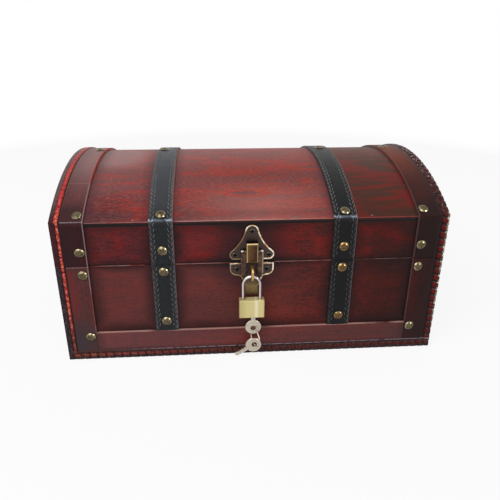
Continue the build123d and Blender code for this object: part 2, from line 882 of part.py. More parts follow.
# Everything together
def build():
    nails_base = base_nail_places()
    nails_lid = lid_nail_places()
    pins = pin_places()
    holes = [nail_hole(*p) for p in nails_base + nails_lid]
    holes += [pin_hole(*p) for p in pins]
    fixings = base_screw_places() + lid_screw_places()
    fixings += hinge_screw_places(-1) + hinge_screw_places(1)
    holes += [screw_hole(*p) for p in fixings]

    drilled = {
        "base_front_board": base_board_front(-1),
        "base_back_board": base_board_front(1),
        "base_left_end": base_board_end(-1),
        "base_right_end": base_board_end(1),
        "base_floor": base_floor(),
        "front_bottom_rail": front_rail(),
        "lid_front_rim": lid_rim(-1),
        "lid_back_rim": lid_rim(1),
        "lid_left_end": lid_end(-1),
        "lid_right_end": lid_end(1),
        "lid_curved_skin": lid_skin(),
        "lid_arch_band_left_front": lid_arch_band_left(True),
        "lid_arch_band_left_top": lid_arch_band_left(False),
        "lid_arch_band_right": lid_arch_band(1),
        "lid_strap_left": lid_strap(-1),
        "lid_strap_right": lid_strap(1),
        "hinge_base_leaf_left": hinge_leaf(-1, -1),
        "hinge_base_leaf_right": hinge_leaf(1, -1),
        "hinge_lid_leaf_left": hinge_leaf(-1, 1),
        "hinge_lid_leaf_right": hinge_leaf(1, 1),
    }
    whole = {
        "lid_arch_moulding_left": arch_bead(-1),
        "lid_arch_moulding_right": arch_bead(1),
        "bottom_moulding_front": bottom_bead_long(-1),
        "bottom_moulding_back": bottom_bead_long(1),
        "bottom_moulding_left": bottom_bead_end(-1),
        "bottom_moulding_right": bottom_bead_end(1),
        "hinge_pins": hinge_pins(),
        "latch_lid_plate": lid_plate(),
        "latch_base_plate": base_plate(),
        "latch_bridge": bridge(),
        "latch_staple": staple(),
        "hasp_leaf": hasp_leaf(),
        "padlock_body": padlock_body(),
        "padlock_plug": padlock_plug(),
        "padlock_shackle": shackle(),
        "key_in_lock": key_in_lock(),
        "spare_key": spare_key(),
        "key_ring": key_ring(),
        "base_nails": [nail(*p) for p in nails_base],
        "lid_nails": [nail(*p) for p in nails_lid],
        "skin_pins": [skin_pin(*p) for p in pins],
        "latch_lid_screws": [screw(*p) for p in lid_screw_places()],
        "latch_base_screws": [screw(*p) for p in base_screw_places()],
        "hinge_base_screws": [screw(*p) for p in hinge_screw_places(-1)],
        "hinge_lid_screws": [screw(*p) for p in hinge_screw_places(1)],
    }
    for side_x, hand in ((-1, "left"), (1, "right")):
        whole[f"base_corner_moulding_front_{hand}"] = base_corner_bead(side_x, -1)
        whole[f"lid_corner_moulding_front_{hand}"] = lid_corner_bead(side_x, -1)
        drilled[f"base_band_front_{hand}"] = base_band(side_x, -1)
        drilled[f"lid_rim_band_front_{hand}"] = lid_rim_band(side_x, -1)
        drilled[f"base_strap_front_{hand}"] = base_strap(side_x, -1)
    for name, shape in drilled.items():
        whole[name] = cut(shape, holes)

    # The back's trim, in pairs
    sides = (-1, 1)
    whole["base_corner_mouldings_back"] = [base_corner_bead(s, 1) for s in sides]
    whole["lid_corner_mouldings_back"] = [lid_corner_bead(s, 1) for s in sides]
    whole["base_bands_back"] = [cut(base_band(s, 1), holes) for s in sides]
    whole["lid_rim_bands_back"] = [cut(lid_rim_band(s, 1), holes) for s in sides]
    whole["base_straps_back"] = [cut(base_strap(s, 1), holes) for s in sides]
    return whole


os.makedirs("parts", exist_ok=True)
for node, solids in build().items():
    if isinstance(solids, list):
        solids = Compound(children=solids)
    export_step(solids, f"parts/{node}.step")
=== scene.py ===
import json
import math
import random

import bmesh
import bpy
from mathutils import Matrix, Vector, noise


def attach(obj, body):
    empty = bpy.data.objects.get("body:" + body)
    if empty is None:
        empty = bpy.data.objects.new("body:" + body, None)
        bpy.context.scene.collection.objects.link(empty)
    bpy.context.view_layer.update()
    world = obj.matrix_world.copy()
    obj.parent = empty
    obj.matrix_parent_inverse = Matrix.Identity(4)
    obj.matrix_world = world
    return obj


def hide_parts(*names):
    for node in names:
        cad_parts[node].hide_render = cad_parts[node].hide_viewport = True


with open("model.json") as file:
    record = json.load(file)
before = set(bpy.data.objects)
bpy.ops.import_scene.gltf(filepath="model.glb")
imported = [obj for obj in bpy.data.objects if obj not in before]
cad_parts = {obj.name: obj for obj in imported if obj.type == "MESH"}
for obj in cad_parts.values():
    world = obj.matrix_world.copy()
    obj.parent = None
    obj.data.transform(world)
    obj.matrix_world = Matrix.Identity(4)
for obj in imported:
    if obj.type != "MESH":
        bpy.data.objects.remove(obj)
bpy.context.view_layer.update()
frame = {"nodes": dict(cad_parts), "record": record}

# The looks of a treasure chest box: stained wood, carved edges, leather straps and antique brass.
# Metres, in the frame of the model. Finishes measure in millimetres of the same frame.
mm = 0.001

# Places on the chest, in millimetres: X to the right, -Y to the front, Z up
half_length = 150.0
half_depth = 100.0
end_face = 147.0
front_face = 97.0
joint = 83.0
base_top = 82.8
lid_low = 83.2
crease = 119.4
crown = 146.0
bead_stand = 3.0
bead_width = 8.0
band_inner = 125.8
band_outer = 142.0
band_thick = 2.0
band_seam = 59.05
rail_top = 24.5
strap_x = 69.5
strap_half = 9.0
strap_thick = 1.8
arch_rise = crown - crease
arch_radius = (half_depth**2 + arch_rise**2) / (2 * arch_rise)
arch_centre = crown - arch_radius
skin_radius = arch_radius - bead_stand
skin_thick = 3.0
skin_arris = 117.2

# Places on the latch and the padlock
latch_x = -1.75
latch_height = 92.0
lid_plate_top = 111.0
base_plate_top = 82.6
plate_face = -98.0
tail_top = 68.5
tail_half = 5.0
staple_front = -99.5
hasp_pivot = 93.0
hasp_half = 8.5
block_half = 4.4
block_low = 85.0
block_high = 100.1
block_wall = -103.3
block_front = -104.13
padlock_x = -2.25
padlock_half = 9.9
padlock_top = 54.3


def dye(red, green, blue):
    """A colour from its screen values, 0 to 255."""
    shares = [c / 255 for c in (red, green, blue)]
    return tuple(c / 12.92 if c < 0.04 else ((c + 0.055) / 1.055) ** 2.4 for c in shares) + (1.0,)


# Finishes
def worked(operation, swapped=False):
    """A way to work out a new number from one or two."""

    def work(tone, *others):
        return tone.bench.work(operation, *((*others, tone) if swapped else (tone, *others)))

    return work


class Tone:
    """A number that changes over a surface. Sums with it add the nodes that work them out."""

    def __init__(self, bench, socket):
        self.bench = bench
        self.socket = socket

    __add__, __radd__ = worked("ADD"), worked("ADD", swapped=True)
    __sub__, __rsub__ = worked("SUBTRACT"), worked("SUBTRACT", swapped=True)
    __mul__, __rmul__ = worked("MULTIPLY"), worked("MULTIPLY", swapped=True)
    __truediv__, __rtruediv__ = worked("DIVIDE"), worked("DIVIDE", swapped=True)
    __pow__, __abs__ = worked("POWER"), worked("ABSOLUTE")
    __gt__, __lt__ = worked("GREATER_THAN"), worked("LESS_THAN")
    at_least, at_most = worked("MAXIMUM"), worked("MINIMUM")
    root, wave = worked("SQRT"), worked("SINE")

    def rising(self, low, high):
        """0 below low, 1 above high, and smooth between. It falls where low is above high."""
        settings = {"interpolation_type": "SMOOTHSTEP"}
        sockets = {"Value": self, "From Min": low, "From Max": high}
        return Tone(self.bench, self.bench.node("ShaderNodeMapRange", settings, sockets).outputs[0])

    def near(self, place, reach):
        """1 at a place, fading smoothly to 0 at a distance from it."""
        return abs(self - place).rising(reach, 0.0)


def strongest(mask, *others):
    """As strong as the strongest of some masks."""
    for other in others:
        mask = mask.at_least(other)
    return mask


def beside_strap(x, inner, outer):
    """Masks along the inner and the outer edge of a strap."""
    return x.near(strap_x - strap_half, inner), x.near(strap_x + strap_half, outer)


class Bench:
    """A tree of nodes, and the one way to add to it."""

    def __init__(self, tree):
        self.tree = tree

    def node(self, kind, settings=None, sockets=None):
        """Any node: its settings first, then the values or links of its sockets."""
        made = self.tree.nodes.new(kind)
        for name, value in (settings or {}).items():
            if name == "stops":
                ramp = made.color_ramp
                while len(ramp.elements) < len(value):
                    ramp.elements.new(1.0)
                for stop, (place, colour) in zip(ramp.elements, value):
                    stop.position = place
                    stop.color = colour
            else:
                setattr(made, name, value)
        for name, value in (sockets or {}).items():
            self.feed(made.inputs[name], value)
        return made

    def feed(self, socket, value):
        if isinstance(value, Tone):
            value = value.socket
        if isinstance(value, bpy.types.NodeSocket):
            self.tree.links.new(value, socket)
        else:
            socket.default_value = value

    def work(self, operation, *values):
        sockets = dict(enumerate(values))
        return Tone(self, self.node("ShaderNodeMath", {"operation": operation}, sockets).outputs[0])

    def seen(self):
        """1 where the camera, a reflection or glass sees it, 0 where it only lights."""
        path = self.node("ShaderNodeLightPath").outputs
        camera_ray, glossy_ray = Tone(self, path["Is Camera Ray"]), Tone(self, path["Is Glossy Ray"])
        return (camera_ray + glossy_ray + Tone(self, path["Is Transmission Ray"])).at_most(1.0)


class Finish(Bench):
    """One material while it is mixed."""

    def __init__(self, name, shine=0.5):
        self.material = bpy.data.materials.new(name)
        self.material.use_nodes = True
        super().__init__(self.material.node_tree)
        self.surface = self.tree.nodes["Principled BSDF"]
        self.feed(self.surface.inputs["Specular IOR Level"], shine)
        place = self.node("ShaderNodeTexCoord").outputs["Object"]
        size = self.node("ShaderNodeVectorMath", {"operation": "SCALE"}, {0: place, "Scale": 1 / mm})
        apart = self.node("ShaderNodeSeparateXYZ", {}, {0: size.outputs[0]})
        self.x, self.y, self.z = (Tone(self, apart.outputs[i]) for i in range(3))
        self.colour = None

    def arch_run(self):
        """How far a place lies from the crown, along the lid's curve."""
        return self.work("ARCTAN2", self.y, self.z - arch_centre) * skin_radius

    def arch_reach(self):
        """How far a place lies from the axis of the lid's curve."""
        return (self.y**2 + (self.z - arch_centre) ** 2).root()

    def spot(self, x, y, z):
        """A vector from three numbers."""
        return self.node("ShaderNodeCombineXYZ", {}, {0: x, 1: y, 2: z}).outputs[0]

    def cloud(self, x, y, z, detail=3.0, rough=0.5, swirl=0.0):
        """Soft noise between 0 and 1 at a place, one unit to a lump."""
        sockets = {"Vector": self.spot(x, y, z), "Scale": 1.0}
        sockets |= {"Detail": detail, "Roughness": rough, "Distortion": swirl}
        return Tone(self, self.node("ShaderNodeTexNoise", {}, sockets).outputs["Fac"])

    def lumps(self, size, detail=3.0, rough=0.5, tall=None):
        """Soft noise in lumps of a size in millimetres, or drawn out upright."""
        return self.cloud(self.x / size, self.y / size, self.z / (tall or size), detail, rough)

    def pebbles(self, size):
        """0 between pebbles of a size in millimetres, rising into each."""
        sockets = {"Vector": self.spot(self.x / size, self.y / size, self.z / size), "Scale": 1.0}
        cells = self.node("ShaderNodeTexVoronoi", {"feature": "DISTANCE_TO_EDGE"}, sockets)
        return Tone(self, cells.outputs["Distance"])

    def mix(self, share, first, second):
        """The first colour, with a share of the second over it."""
        sockets = {0: share, 6: first, 7: second}
        return self.node("ShaderNodeMix", {"data_type": "RGBA"}, sockets).outputs[2]

    def ramp(self, tone, low, middle, high):
        """From a first colour over a second to a third, as a number goes from 0 to 1."""
        stops = ((0.0, low), (0.5, middle), (1.0, high))
        return self.node("ShaderNodeValToRGB", {"stops": stops}, {"Fac": tone}).outputs["Color"]

    def facing(self, axis):
        """How far the surface faces along an axis of its piece, from -1 to 1."""
        normal = self.node("ShaderNodeTexCoord").outputs["Normal"]
        return Tone(self, self.node("ShaderNodeSeparateXYZ", {}, {0: normal}).outputs[axis])

    def rounded(self, radius):
        """The way the surface faces, with its edges rounded by a radius in millimetres."""
        return self.node("ShaderNodeBevel", {"samples": 6}, {"Radius": radius * mm}).outputs[0]

    def edges(self, radius):
        """1 on an edge and 0 on a flat, within a radius in millimetres."""
        flat = self.node("ShaderNodeNewGeometry").outputs["Normal"]
        sockets = {0: self.rounded(radius), 1: flat}
        both = self.node("ShaderNodeVectorMath", {"operation": "DOT_PRODUCT"}, sockets)
        return Tone(self, both.outputs["Value"]).rising(0.995, 0.85)

    def mark(self, name):
        """A mark that a mesh carries at its points."""
        return Tone(self, self.node("ShaderNodeAttribute", {"attribute_name": name}).outputs["Fac"])

    def bump(self, height, depth, edge=0.0):
        """Relief of this depth in millimetres, over edges rounded by a radius in millimetres."""
        sockets = {"Height": height, "Distance": depth * mm, "Strength": 1.0}
        if edge:
            sockets["Normal"] = self.rounded(edge)
        self.feed(self.surface.inputs["Normal"], self.node("ShaderNodeBump", {}, sockets).outputs[0])

    def paint(self, share, colour):
        """Lays a share of a colour over what is there."""
        self.colour = self.mix(share, self.colour, colour)

    def coat(self, rough, metal=None):
        """The finished material, in the colour that was laid on."""
        self.feed(self.surface.inputs["Base Color"], self.colour)
        self.feed(self.surface.inputs["Roughness"], rough)
        if metal is not None:
            self.feed(self.surface.inputs["Metallic"], metal)
        return self.material


# Stained wood
deep = dye(52, 20, 19)
cherry = dye(93, 37, 34)
flame = dye(132, 42, 34)
umber = dye(24, 15, 17)
gap_shadow_black = dye(12, 8, 9)
plum = dye(58, 36, 44)
mauve = dye(92, 58, 60)
walnut = dye(40, 24, 26)
inner_wood = dye(52, 30, 26)
worn_and_lit_edge = dye(205, 160, 150)


def stained(f, along, across, depth, seed, warmth, edge):
    """Lays on stained wood with edges sanded round, and gives its veins and its fine grain."""
    broad = f.cloud(along / 62 + seed, across / 24, depth / 24, 2.0, 0.5, 0.6)
    vein = f.cloud(along / 20, across / 1.7 + seed, depth / 1.7, 3.0, 0.6)
    grain = f.cloud(along / 3.2, across / 0.75, depth / 0.75 + seed, 2.0, 0.7)
    fleck = f.cloud(along / 1.1 + seed, across / 16, depth / 16, 1.0)
    glow = broad * 0.38 + vein * 0.22 + grain * 0.36 + fleck * 0.08 + (warmth - 0.52)
    f.colour = f.ramp(glow.rising(0.31, 0.71), deep, cherry, flame)
    f.paint(grain.rising(0.5, 0.3) * 0.58, umber)
    # Painted shade: darker towards the right, where less light falls
    f.paint((f.x - 20).rising(0, 120) * 0.55, dye(26, 12, 10))
    f.paint(f.x.rising(10, -60) * 0.12, dye(96, 48, 76))
    f.bump(vein * 0.4 + grain * 0.6, 0.1, edge)
    return vein, grain


def board_finish():
    """Front, back, ends and floor: darkened towards every edge as if sprayed, partly painted shade."""
    f = Finish("stained boards", shine=0.13)
    x, y, z = abs(f.x), abs(f.y), f.z
    is_front, is_back = f.y < 1 - front_face, f.y > 0
    is_end = x.rising(end_face - 0.4, end_face - 0.2)
    is_inside = (x < end_face - 0.5) * (y < front_face - 0.5)
    along = f.x + (f.y - f.x) * is_end
    vein, grain = stained(f, along, z, f.y * 0.3 + f.x * 0.02, 3.1, 0.53, 0.5)
    patchy = f.lumps(16) * 10

    # Redder on the lid, browner on the left of the base
    ruddy = f.cloud(along / 26 + 7.7, 2.0, z / 16, 4.0, 0.6).rising(0.44, 0.66)
    ruddy = ruddy * z.rising(joint - 2, joint + 2)
    bright = (1 - is_end * 0.7) * (1 - is_back * 0.6) * (0.2 + grain * 0.7)
    f.paint(ruddy * bright, dye(138, 30, 25))
    f.paint(z.rising(joint, joint - 4) * f.x.rising(70, -20) * 0.35, dye(116, 70, 64))
    cheek = f.x.near(-40, 22) * z.near(101, 14) * is_front
    f.paint(cheek * (0.2 + vein * 0.3), dye(142, 48, 44))

    # Dark along the trim and round the latch, as if sprayed and partly painted shade; painted shade far to
    # the right
    foot = rail_top + (bead_width - rail_top) * is_back
    rows = (z - patchy * 0.3).near(foot, 11), z.near(joint, 8), (z + patchy * 0.3).near(crease, 14)
    shade = strongest(x.near(band_inner, 14), *beside_strap(x, 12, 11), *rows)
    radial = f.arch_reach() + patchy * 0.4
    rim = strongest(y.rising(76, 92), z.rising(22, 8), radial.rising(arch_radius - 22, arch_radius - 8))
    shade = (shade + (rim - shade) * is_end) * (0.5 + patchy * 0.06) * (1 - is_inside)
    halo = (f.x - latch_x) ** 2 + ((z - latch_height) * 0.8) ** 2 + patchy * 20
    halo = halo.root().rising(42, 14) * is_front
    f.paint(halo * 0.6, plum)
    f.paint((shade * 0.85 + halo * 0.5).at_most(0.93), umber)
    # Painted shade: darker beyond the right strap
    f.paint((f.x - strap_x).rising(0, 30) * 0.36, dye(22, 10, 8))
    f.paint(is_inside * 0.5, inner_wood)

    # Pale along the top of the base, worn and partly a painted highlight; black under the lid, a painted
    # shadow
    worn = z.near(base_top, 0.75) * (z < joint) * (1 - is_inside) * (f.x.rising(120, 0) * 0.5 + 0.4)
    worn = worn * f.cloud(f.x / 22, 0.0, 4.0, 2.0).rising(0.36, 0.5)
    rubbed = f.cloud(f.x / 16, 3.0, 4.0, 2.0).rising(0.42, 0.64)
    f.paint(worn, f.mix(rubbed, dye(184, 134, 128), dye(146, 60, 56)))
    # Painted shadow: black in the gap under the lid
    f.paint(z.near(lid_low + 0.3, 0.8) * (z > joint) * (1 - is_inside) * 0.9, gap_shadow_black)
    return f.coat(0.46 - shade * 0.04 + vein * 0.16)


def skin_finish():
    """The curved top: red and mauve islands with glowing borders, a knot and pale arrises."""
    f = Finish("stained curved skin", shine=0.16)
    x, arc = abs(f.x), f.arch_run()
    down = abs(arc)
    beyond = (f.x - strap_x).rising(0, 14)
    vein, grain = stained(f, f.x, arc, f.z * 0.02, 8.3, 0.66, 0.3)
    underside = f.mix(0.45, f.colour, inner_wood)
    f.paint(0.25, dye(150, 62, 52))
    island = f.cloud(f.x / 58 + 4.4, arc / 17, 2.7, 3.0, 0.5, 0.9)
    ragged = island + (vein - 0.5) * 0.2 + (grain - 0.5) * 0.08
    f.paint(ragged.near(0.455, 0.06) * 0.5, dye(172, 42, 28))
    f.paint(ragged.rising(0.475, 0.57) * 0.48, mauve)

    # Painted sheen: paler low on the front, at the left of the crown and between the straps
    sheen_patches = f.x.near(8, 84) * arc.rising(-45, -85)
    sheen_patches = sheen_patches + f.x.near(-112, 34) * down.rising(42, 6) * 1.5
    sheen_patches = sheen_patches + f.x.rising(66, 40) * down.rising(45, 5) * 0.35
    haze = sheen_patches * 0.47 + f.x.rising(20, -140) * down.rising(95, 50) * 0.14
    pale = f.mix(f.x.rising(-70, -100), dye(184, 122, 116), dye(168, 138, 136))
    f.paint(haze.at_most(0.62), pale)
    knot = ((f.x + 5) / 13) ** 2 + ((arc + 74 - vein * 4) / 3.2) ** 2
    knot = knot.root() + (grain - 0.5) * 0.5
    f.paint(knot.near(1.2, 0.55) * 0.6, dye(180, 56, 38))
    f.paint(knot.rising(1.0, 0.6) * 0.6, dye(104, 66, 66))

    # Darker in the low left corner; painted shade beside the trim; dark with red patches beyond the right
    # strap, partly painted shade
    f.paint(f.x.rising(-84, -108) * arc.rising(-64, -88) * 0.66, dye(74, 36, 42))
    f.paint(grain.rising(0.5, 0.68) * (1 - beyond * 0.6) * 0.3, dye(196, 120, 106))
    shade = strongest(x.near(band_inner, 13), *beside_strap(x, 9, 11), arc.near(-95, 7) * 0.55)
    f.paint(shade * 0.5, plum)
    embers = f.mix(ragged.rising(0.33, 0.56), dye(110, 14, 7), dye(56, 29, 11))
    # Beyond the right strap: red patches and darkening, partly painted shade
    f.paint(beyond * 0.8, embers)
    f.paint(beyond * down.rising(52, 8) * 0.32, dye(88, 48, 22))

    # The arris along the front and the back: pale from wear and a painted highlight, and black below it, a
    # painted shadow
    edge = f.z.rising(skin_arris - 0.1, skin_arris + 0.15)
    edge = edge * abs(f.y).rising(front_face - 0.3, front_face - 0.05)
    worn = f.cloud(f.x / 14, 0.0, 3.0, 3.0).rising(0.3, 0.5) * (f.x.rising(-92, -52) * 0.75 + 0.25)
    line = f.mix(f.x.rising(10, 90), worn_and_lit_edge, dye(170, 74, 66))
    f.paint(edge * (worn * 0.65 + 0.15), line)
    # Painted shadow below the overhanging arris
    black = f.z.rising(skin_arris - 1.2, skin_arris - 1.5).at_least(f.x.rising(-76, -100) * 0.75)
    below = f.mix(black, dye(58, 28, 28), dye(14, 9, 11))
    f.paint(f.z.rising(skin_arris, skin_arris - 0.3), below)
    under = (f.arch_reach() < skin_radius - skin_thick + 0.3) * (abs(f.y) < front_face - 0.1)
    f.paint(under, underside)
    return f.coat(0.42 + vein * 0.18)


def band_finish():
    """Flat bands, upright grain: nearly black on the lid's front, warmer over the arch."""
    f = Finish("stained bands", shine=0.12)
    x, z, arc = abs(f.x), f.z, f.arch_run()
    down = abs(arc)
    right = f.x.rising(0, 1)
    left = 1 - right
    over = z.rising(crease - 4, crease - 2)
    outer = x.rising(band_inner + 3, band_outer + 1)
    vein, _ = stained(f, z + (arc - z) * over, f.x, f.y * 0.02, 5.5, 0.47, 0.4)
    rust = f.mix(down.rising(76, 8), dye(60, 20, 12), dye(122, 50, 20))
    f.paint(over * right * 0.75, rust)
    # Painted sheen: pale over the arch on the left
    f.paint(over * left * (down.rising(84, 16) * 0.74 + 0.12), dye(156, 118, 116))
    f.paint(outer * (0.72 - over * 0.4), f.mix(right, plum, walnut))

    # Dark on the lid's front and at the foot, red along the outer edge on the left
    on_rim = z.rising(joint - 0.3, joint + 0.3) * (1 - over * arc.rising(-92, -78))
    f.paint(on_rim * 0.62, umber)
    foot = z.rising(46, 16) * (outer * 0.25 + 0.68)
    f.paint(foot, f.mix(right, dye(46, 45, 55), walnut))
    f.paint(left * z.rising(joint, joint - 2) * 0.12, dye(136, 104, 92))
    flush = x.near(band_outer - 3, 6) * z.rising(joint, joint - 6) * z.rising(30, 52) * left
    f.paint(flush * (vein * 0.7 + 0.1), dye(132, 40, 38))

    # The worn inner edge, with painted shadow black beside the rail
    f.paint(x.near(band_inner, 0.8) * (z < rail_top) * 0.8, dye(22, 15, 18))
    ruddy = z.rising(66, 56) * z.rising(22, 34) * left
    glowing = arc.rising(-62, -56) * over * left
    pale = f.mix(ruddy * 0.8, dye(206, 176, 176), dye(178, 62, 54))
    worn = x.near(band_inner, 0.55) * (0.75 - right * 0.6) * z.rising(rail_top - 3, rail_top + 4)
    worn = worn + glowing * x.near(band_inner, 0.9) * 0.4
    f.paint(worn, f.mix(glowing, pale, dye(196, 84, 66)))

    # Pale on the left: painted highlights on the bend at the crease and on the lip at the joint, and the seam
    bend_highlight = z.near(crease - 0.4, 0.5) * (f.y < 0) * left * vein.rising(0.35, 0.55)
    f.paint(bend_highlight * 0.5, dye(190, 168, 176))
    # Painted highlight on the lip at the joint
    lip = z.near(base_top, 0.7) * (z < joint) * left * vein.rising(0.3, 0.5)
    f.paint(lip * 0.75, dye(176, 140, 142))
    seam = arc.near(-band_seam, 0.45) * over * left
    f.paint(seam * 0.6, dye(190, 130, 110))
    return f.coat(0.46 + vein * 0.14)


def rail_finish():
    """The flat rail along the bottom of the front, with a top arris pale from wear and a painted highlight.
    """
    f = Finish("stained bottom rail", shine=0.26)
    vein, _ = stained(f, f.x, f.z, f.y * 0.02, 12.4, 0.55, 0.4)
    # Painted sheen: paler and greyer towards the left
    f.paint(0.2 + f.x.rising(0, -100) * 0.2, dye(118, 74, 74))
    shade = strongest(abs(f.x).near(band_inner, 9), f.z.near(bead_width, 4))
    f.paint(shade * 0.5, umber)
    # Worn top arris, with a painted highlight
    worn = f.z.near(rail_top, 0.5) * f.cloud(f.x / 30, 0.0, 6.0, 2.0).rising(0.3, 0.5)
    f.paint(worn * 0.75, worn_and_lit_edge)
    return f.coat(0.44 + vein * 0.15)


def moulding_finish():
    """Carved edge strips: red pillows, cuts black with painted shade, a plum facet and a brown margin."""
    f = Finish("carved mouldings", shine=0.14)
    y, z = abs(f.y), f.z
    lump, speck, drift = f.lumps(2.5, 4.0), f.lumps(0.7, 2.0), f.lumps(11, 2.0)
    chip = f.cloud(f.x / 1.5, f.y / 1.5, f.z / 1.5 + 3, 2.0)
    crest, facet, margin = f.mark("crest"), f.mark("facet"), f.mark("margin")
    left = f.x.rising(40, -120)
    low = z.rising(bead_width + 1, bead_width - 1)
    high = z.rising(crease - 1, crease + 14)

    # Pillows: painted light on the crests and painted shade in the cuts; brighter on the left, partly painted
    # light; painted highlight sparks and chipped dark spots
    glow = (crest + (lump - 0.5) * 0.7 - low * 0.1).rising(0.1, 1.0)
    f.colour = f.ramp(glow, dye(14, 8, 9), dye(52, 12, 12), dye(108, 20, 18))
    ruddy = f.mix(drift.rising(0.4, 0.6), dye(198, 66, 44), dye(170, 42, 52))
    ruddy = f.mix(z.rising(52, 14) * 0.9, ruddy, f.mix(low, dye(96, 46, 42), dye(146, 64, 54)))
    ruddy = f.mix(high * 0.75, ruddy, dye(186, 32, 40))
    f.paint(glow.rising(0.3, 0.85) * left, ruddy)
    f.paint(chip.rising(0.5, 0.35) * crest * left * 0.6, dye(96, 34, 32))
    # Painted highlights: bright sparks on the crests on the left
    spark = (0.8 - high * 0.5) * (z.rising(8, 46) * 0.6 + 0.4)
    f.paint((crest * chip * left).rising(0.42, 0.6) * spark, dye(238, 146, 120))
    # Darker crests on the right, partly painted shade, and towards the bottom
    worn = (1 - left) * (lump.rising(0.56, 0.4) * 0.5 + z.rising(46, 14) * 0.35)
    f.paint(worn * crest, dye(56, 24, 20))
    f.paint(low * 0.4, f.mix(speck.rising(0.52, 0.62), umber, dye(150, 78, 60)))

    # Over the right of the lid: little red left, dark mottled wood partly painted shade, and pale chips that
    # are partly painted glints
    dark_right_arch = (1 - left) * z.rising(crease - 6, crease + 6)
    chips_and_glints = (chip - z.rising(crease + 26, crease + 8) * 0.07).rising(0.6, 0.66)
    f.paint(dark_right_arch * 0.8, f.mix(lump.rising(0.42, 0.62), dye(30, 17, 19), dye(88, 38, 32)))
    f.paint(dark_right_arch * chips_and_glints * 0.7, dye(206, 190, 184))

    # The facet and the margin, lighter over the arch and on the left, partly painted light
    dusty = f.mix(high, dye(82, 64, 72), dye(150, 128, 124))
    dusty = f.mix(left * (high * 0.75 + 0.25), dusty, dye(128, 100, 104))
    shell = f.mix(speck.rising(0.52 - high * 0.1, 0.64), dye(38, 27, 34), dusty)
    shell = f.mix(left * high * 0.5, shell, dye(118, 84, 84))
    wine = left * z.rising(joint, joint + 3) * (1 - high) * (0.4 + lump * 0.5)
    f.paint(facet * 0.92, f.mix(wine, shell, dye(72, 16, 22)))
    brown = f.mix(high, dye(84, 52, 50), dye(150, 118, 92))
    f.paint(margin * 0.9, f.mix(left, dye(44, 24, 22), brown))

    # Glints on the right edge and on the ledge of the bottom strips
    glint = f.x.rising(half_length - 2.4, half_length - 1.5) * chip.rising(0.44, 0.52) * z.rising(14, 50)
    f.paint(glint * (y > front_face) * (1 - crest), dye(236, 218, 190))
    ledge = z.near(bead_width, 1) * (y > front_face + 1) * lump.rising(0.3, 0.55) * f.x.rising(-122, -64)
    f.paint(ledge * 0.85, dye(176, 158, 172))
    f.bump(lump * 0.6 + speck * 0.3, 0.15)
    return f.coat(0.32 + lump * 0.25)


# Leather, thread and metals
def leather_finish():
    """Black leather: dusty by the stitches, with a painted highlight at the crease, tan at its cut edge."""
    f = Finish("black leather", shine=0.15)
    pebble = f.pebbles(0.8)
    wrinkle = f.lumps(3, 4.0, 0.6)
    cut = f.mark("cut")
    beside = abs(abs(f.x) - strap_x)
    f.colour = f.mix(wrinkle.rising(0.35, 0.75), dye(15, 17, 18), dye(32, 35, 37))
    # Painted shade: darker on the right
    f.paint(f.x.rising(20, 90) * 0.8, dye(11, 10, 10))
    # Painted sheen on the left, stronger over the arch
    left_sheen = f.x.rising(0, -40) * (f.z.rising(crease, crease + 8) * 0.17 + 0.05)
    f.paint(left_sheen, dye(110, 112, 122))
    dusty = beside.rising(5.0, 8.2) * wrinkle.rising(0.3, 0.6) * (0.34 - f.x.rising(0, 60) * 0.2)
    f.paint(dusty, dye(98, 92, 90))
    # Painted highlight along the bend at the crease
    bend_highlight = f.z.near(crease - 0.7, 1.3) * wrinkle.rising(0.36, 0.52) * (beside.rising(2.0, 6.5) * 0.75 + 0.25)
    f.paint(bend_highlight * 0.95, dye(184, 196, 220))
    tan = f.mix(f.z.rising(crease - 3, crease + 8), dye(122, 112, 116), dye(162, 120, 100))
    f.paint(cut * wrinkle.rising(0.28, 0.46), tan)
    f.bump(pebble.at_most(0.25) * 1.2 + wrinkle * 0.6, 0.12)
    return f.coat(0.34 + wrinkle * 0.16 + cut * 0.3)


def thread_finish():
    """Twisted grey thread, darker in patches and below the crease."""
    f = Finish("grey thread", shine=0.3)
    twist = ((f.x + f.y + f.z * 1.4) * 9.0).wave() * 0.5 + 0.5
    fuzz = f.lumps(0.4, 2.0)
    f.colour = f.mix(twist * 0.4 + fuzz * 0.4, dye(86, 88, 92), dye(182, 184, 188))
    patches = f.lumps(9, 2.0).rising(0.35, 0.65) * 0.6
    front = f.z.rising(crease, crease - 4) * (f.x.rising(30, 50) * 0.55 + 0.45)
    f.paint(strongest(patches, front) * 0.7, dye(46, 47, 52))
    f.bump(twist, 0.08)
    return f.coat(0.75 + fuzz * 0.15)


def nail_finish():
    """Antique brass: nearly black round the lip, a painted shadow, dark in patches, dull olive on the dome.
    """
    f = Finish("antique brass nails")
    tarnish, speck = f.lumps(1.9, 3.0, 0.6), f.lumps(0.6, 2.0)
    rub = f.mark("rub")
    warm = f.x.near(strap_x, 6).rising(0.0, 0.3) * (f.y < 0) * f.z.rising(crease, crease - 2)
    slope = f.mix(warm, dye(150, 138, 108), dye(150, 124, 84))
    dome = f.mix(warm, dye(88, 76, 54), dye(98, 72, 40))
    f.colour = f.mix(rub.rising(0.35, 0.95) * 0.8, slope, dome)
    # Painted shadow: nearly black round the lip
    f.colour = f.mix(rub.rising(0.02, 0.2), dye(20, 15, 12), f.colour)
    f.paint((tarnish + speck * 0.4).rising(0.62, 0.84) * 0.7, dye(48, 38, 26))
    f.bump(tarnish * 0.7 + speck * 0.3, 0.02)
    return f.coat(0.12 + tarnish * 0.2, 0.9)


def aged_brass(name, lump, stroke, tall):
    """Tarnished brass, brushed upright, with places beside the latch's middle and up the box."""
    f = Finish(name)
    tarnish, brushed = f.lumps(lump, 4.0, 0.6), f.lumps(stroke, 2.0, tall=tall)
    f.bump(tarnish * 0.6 + brushed * 0.3, 0.08, 0.35)
    return f, tarnish, brushed, f.x - latch_x, f.z


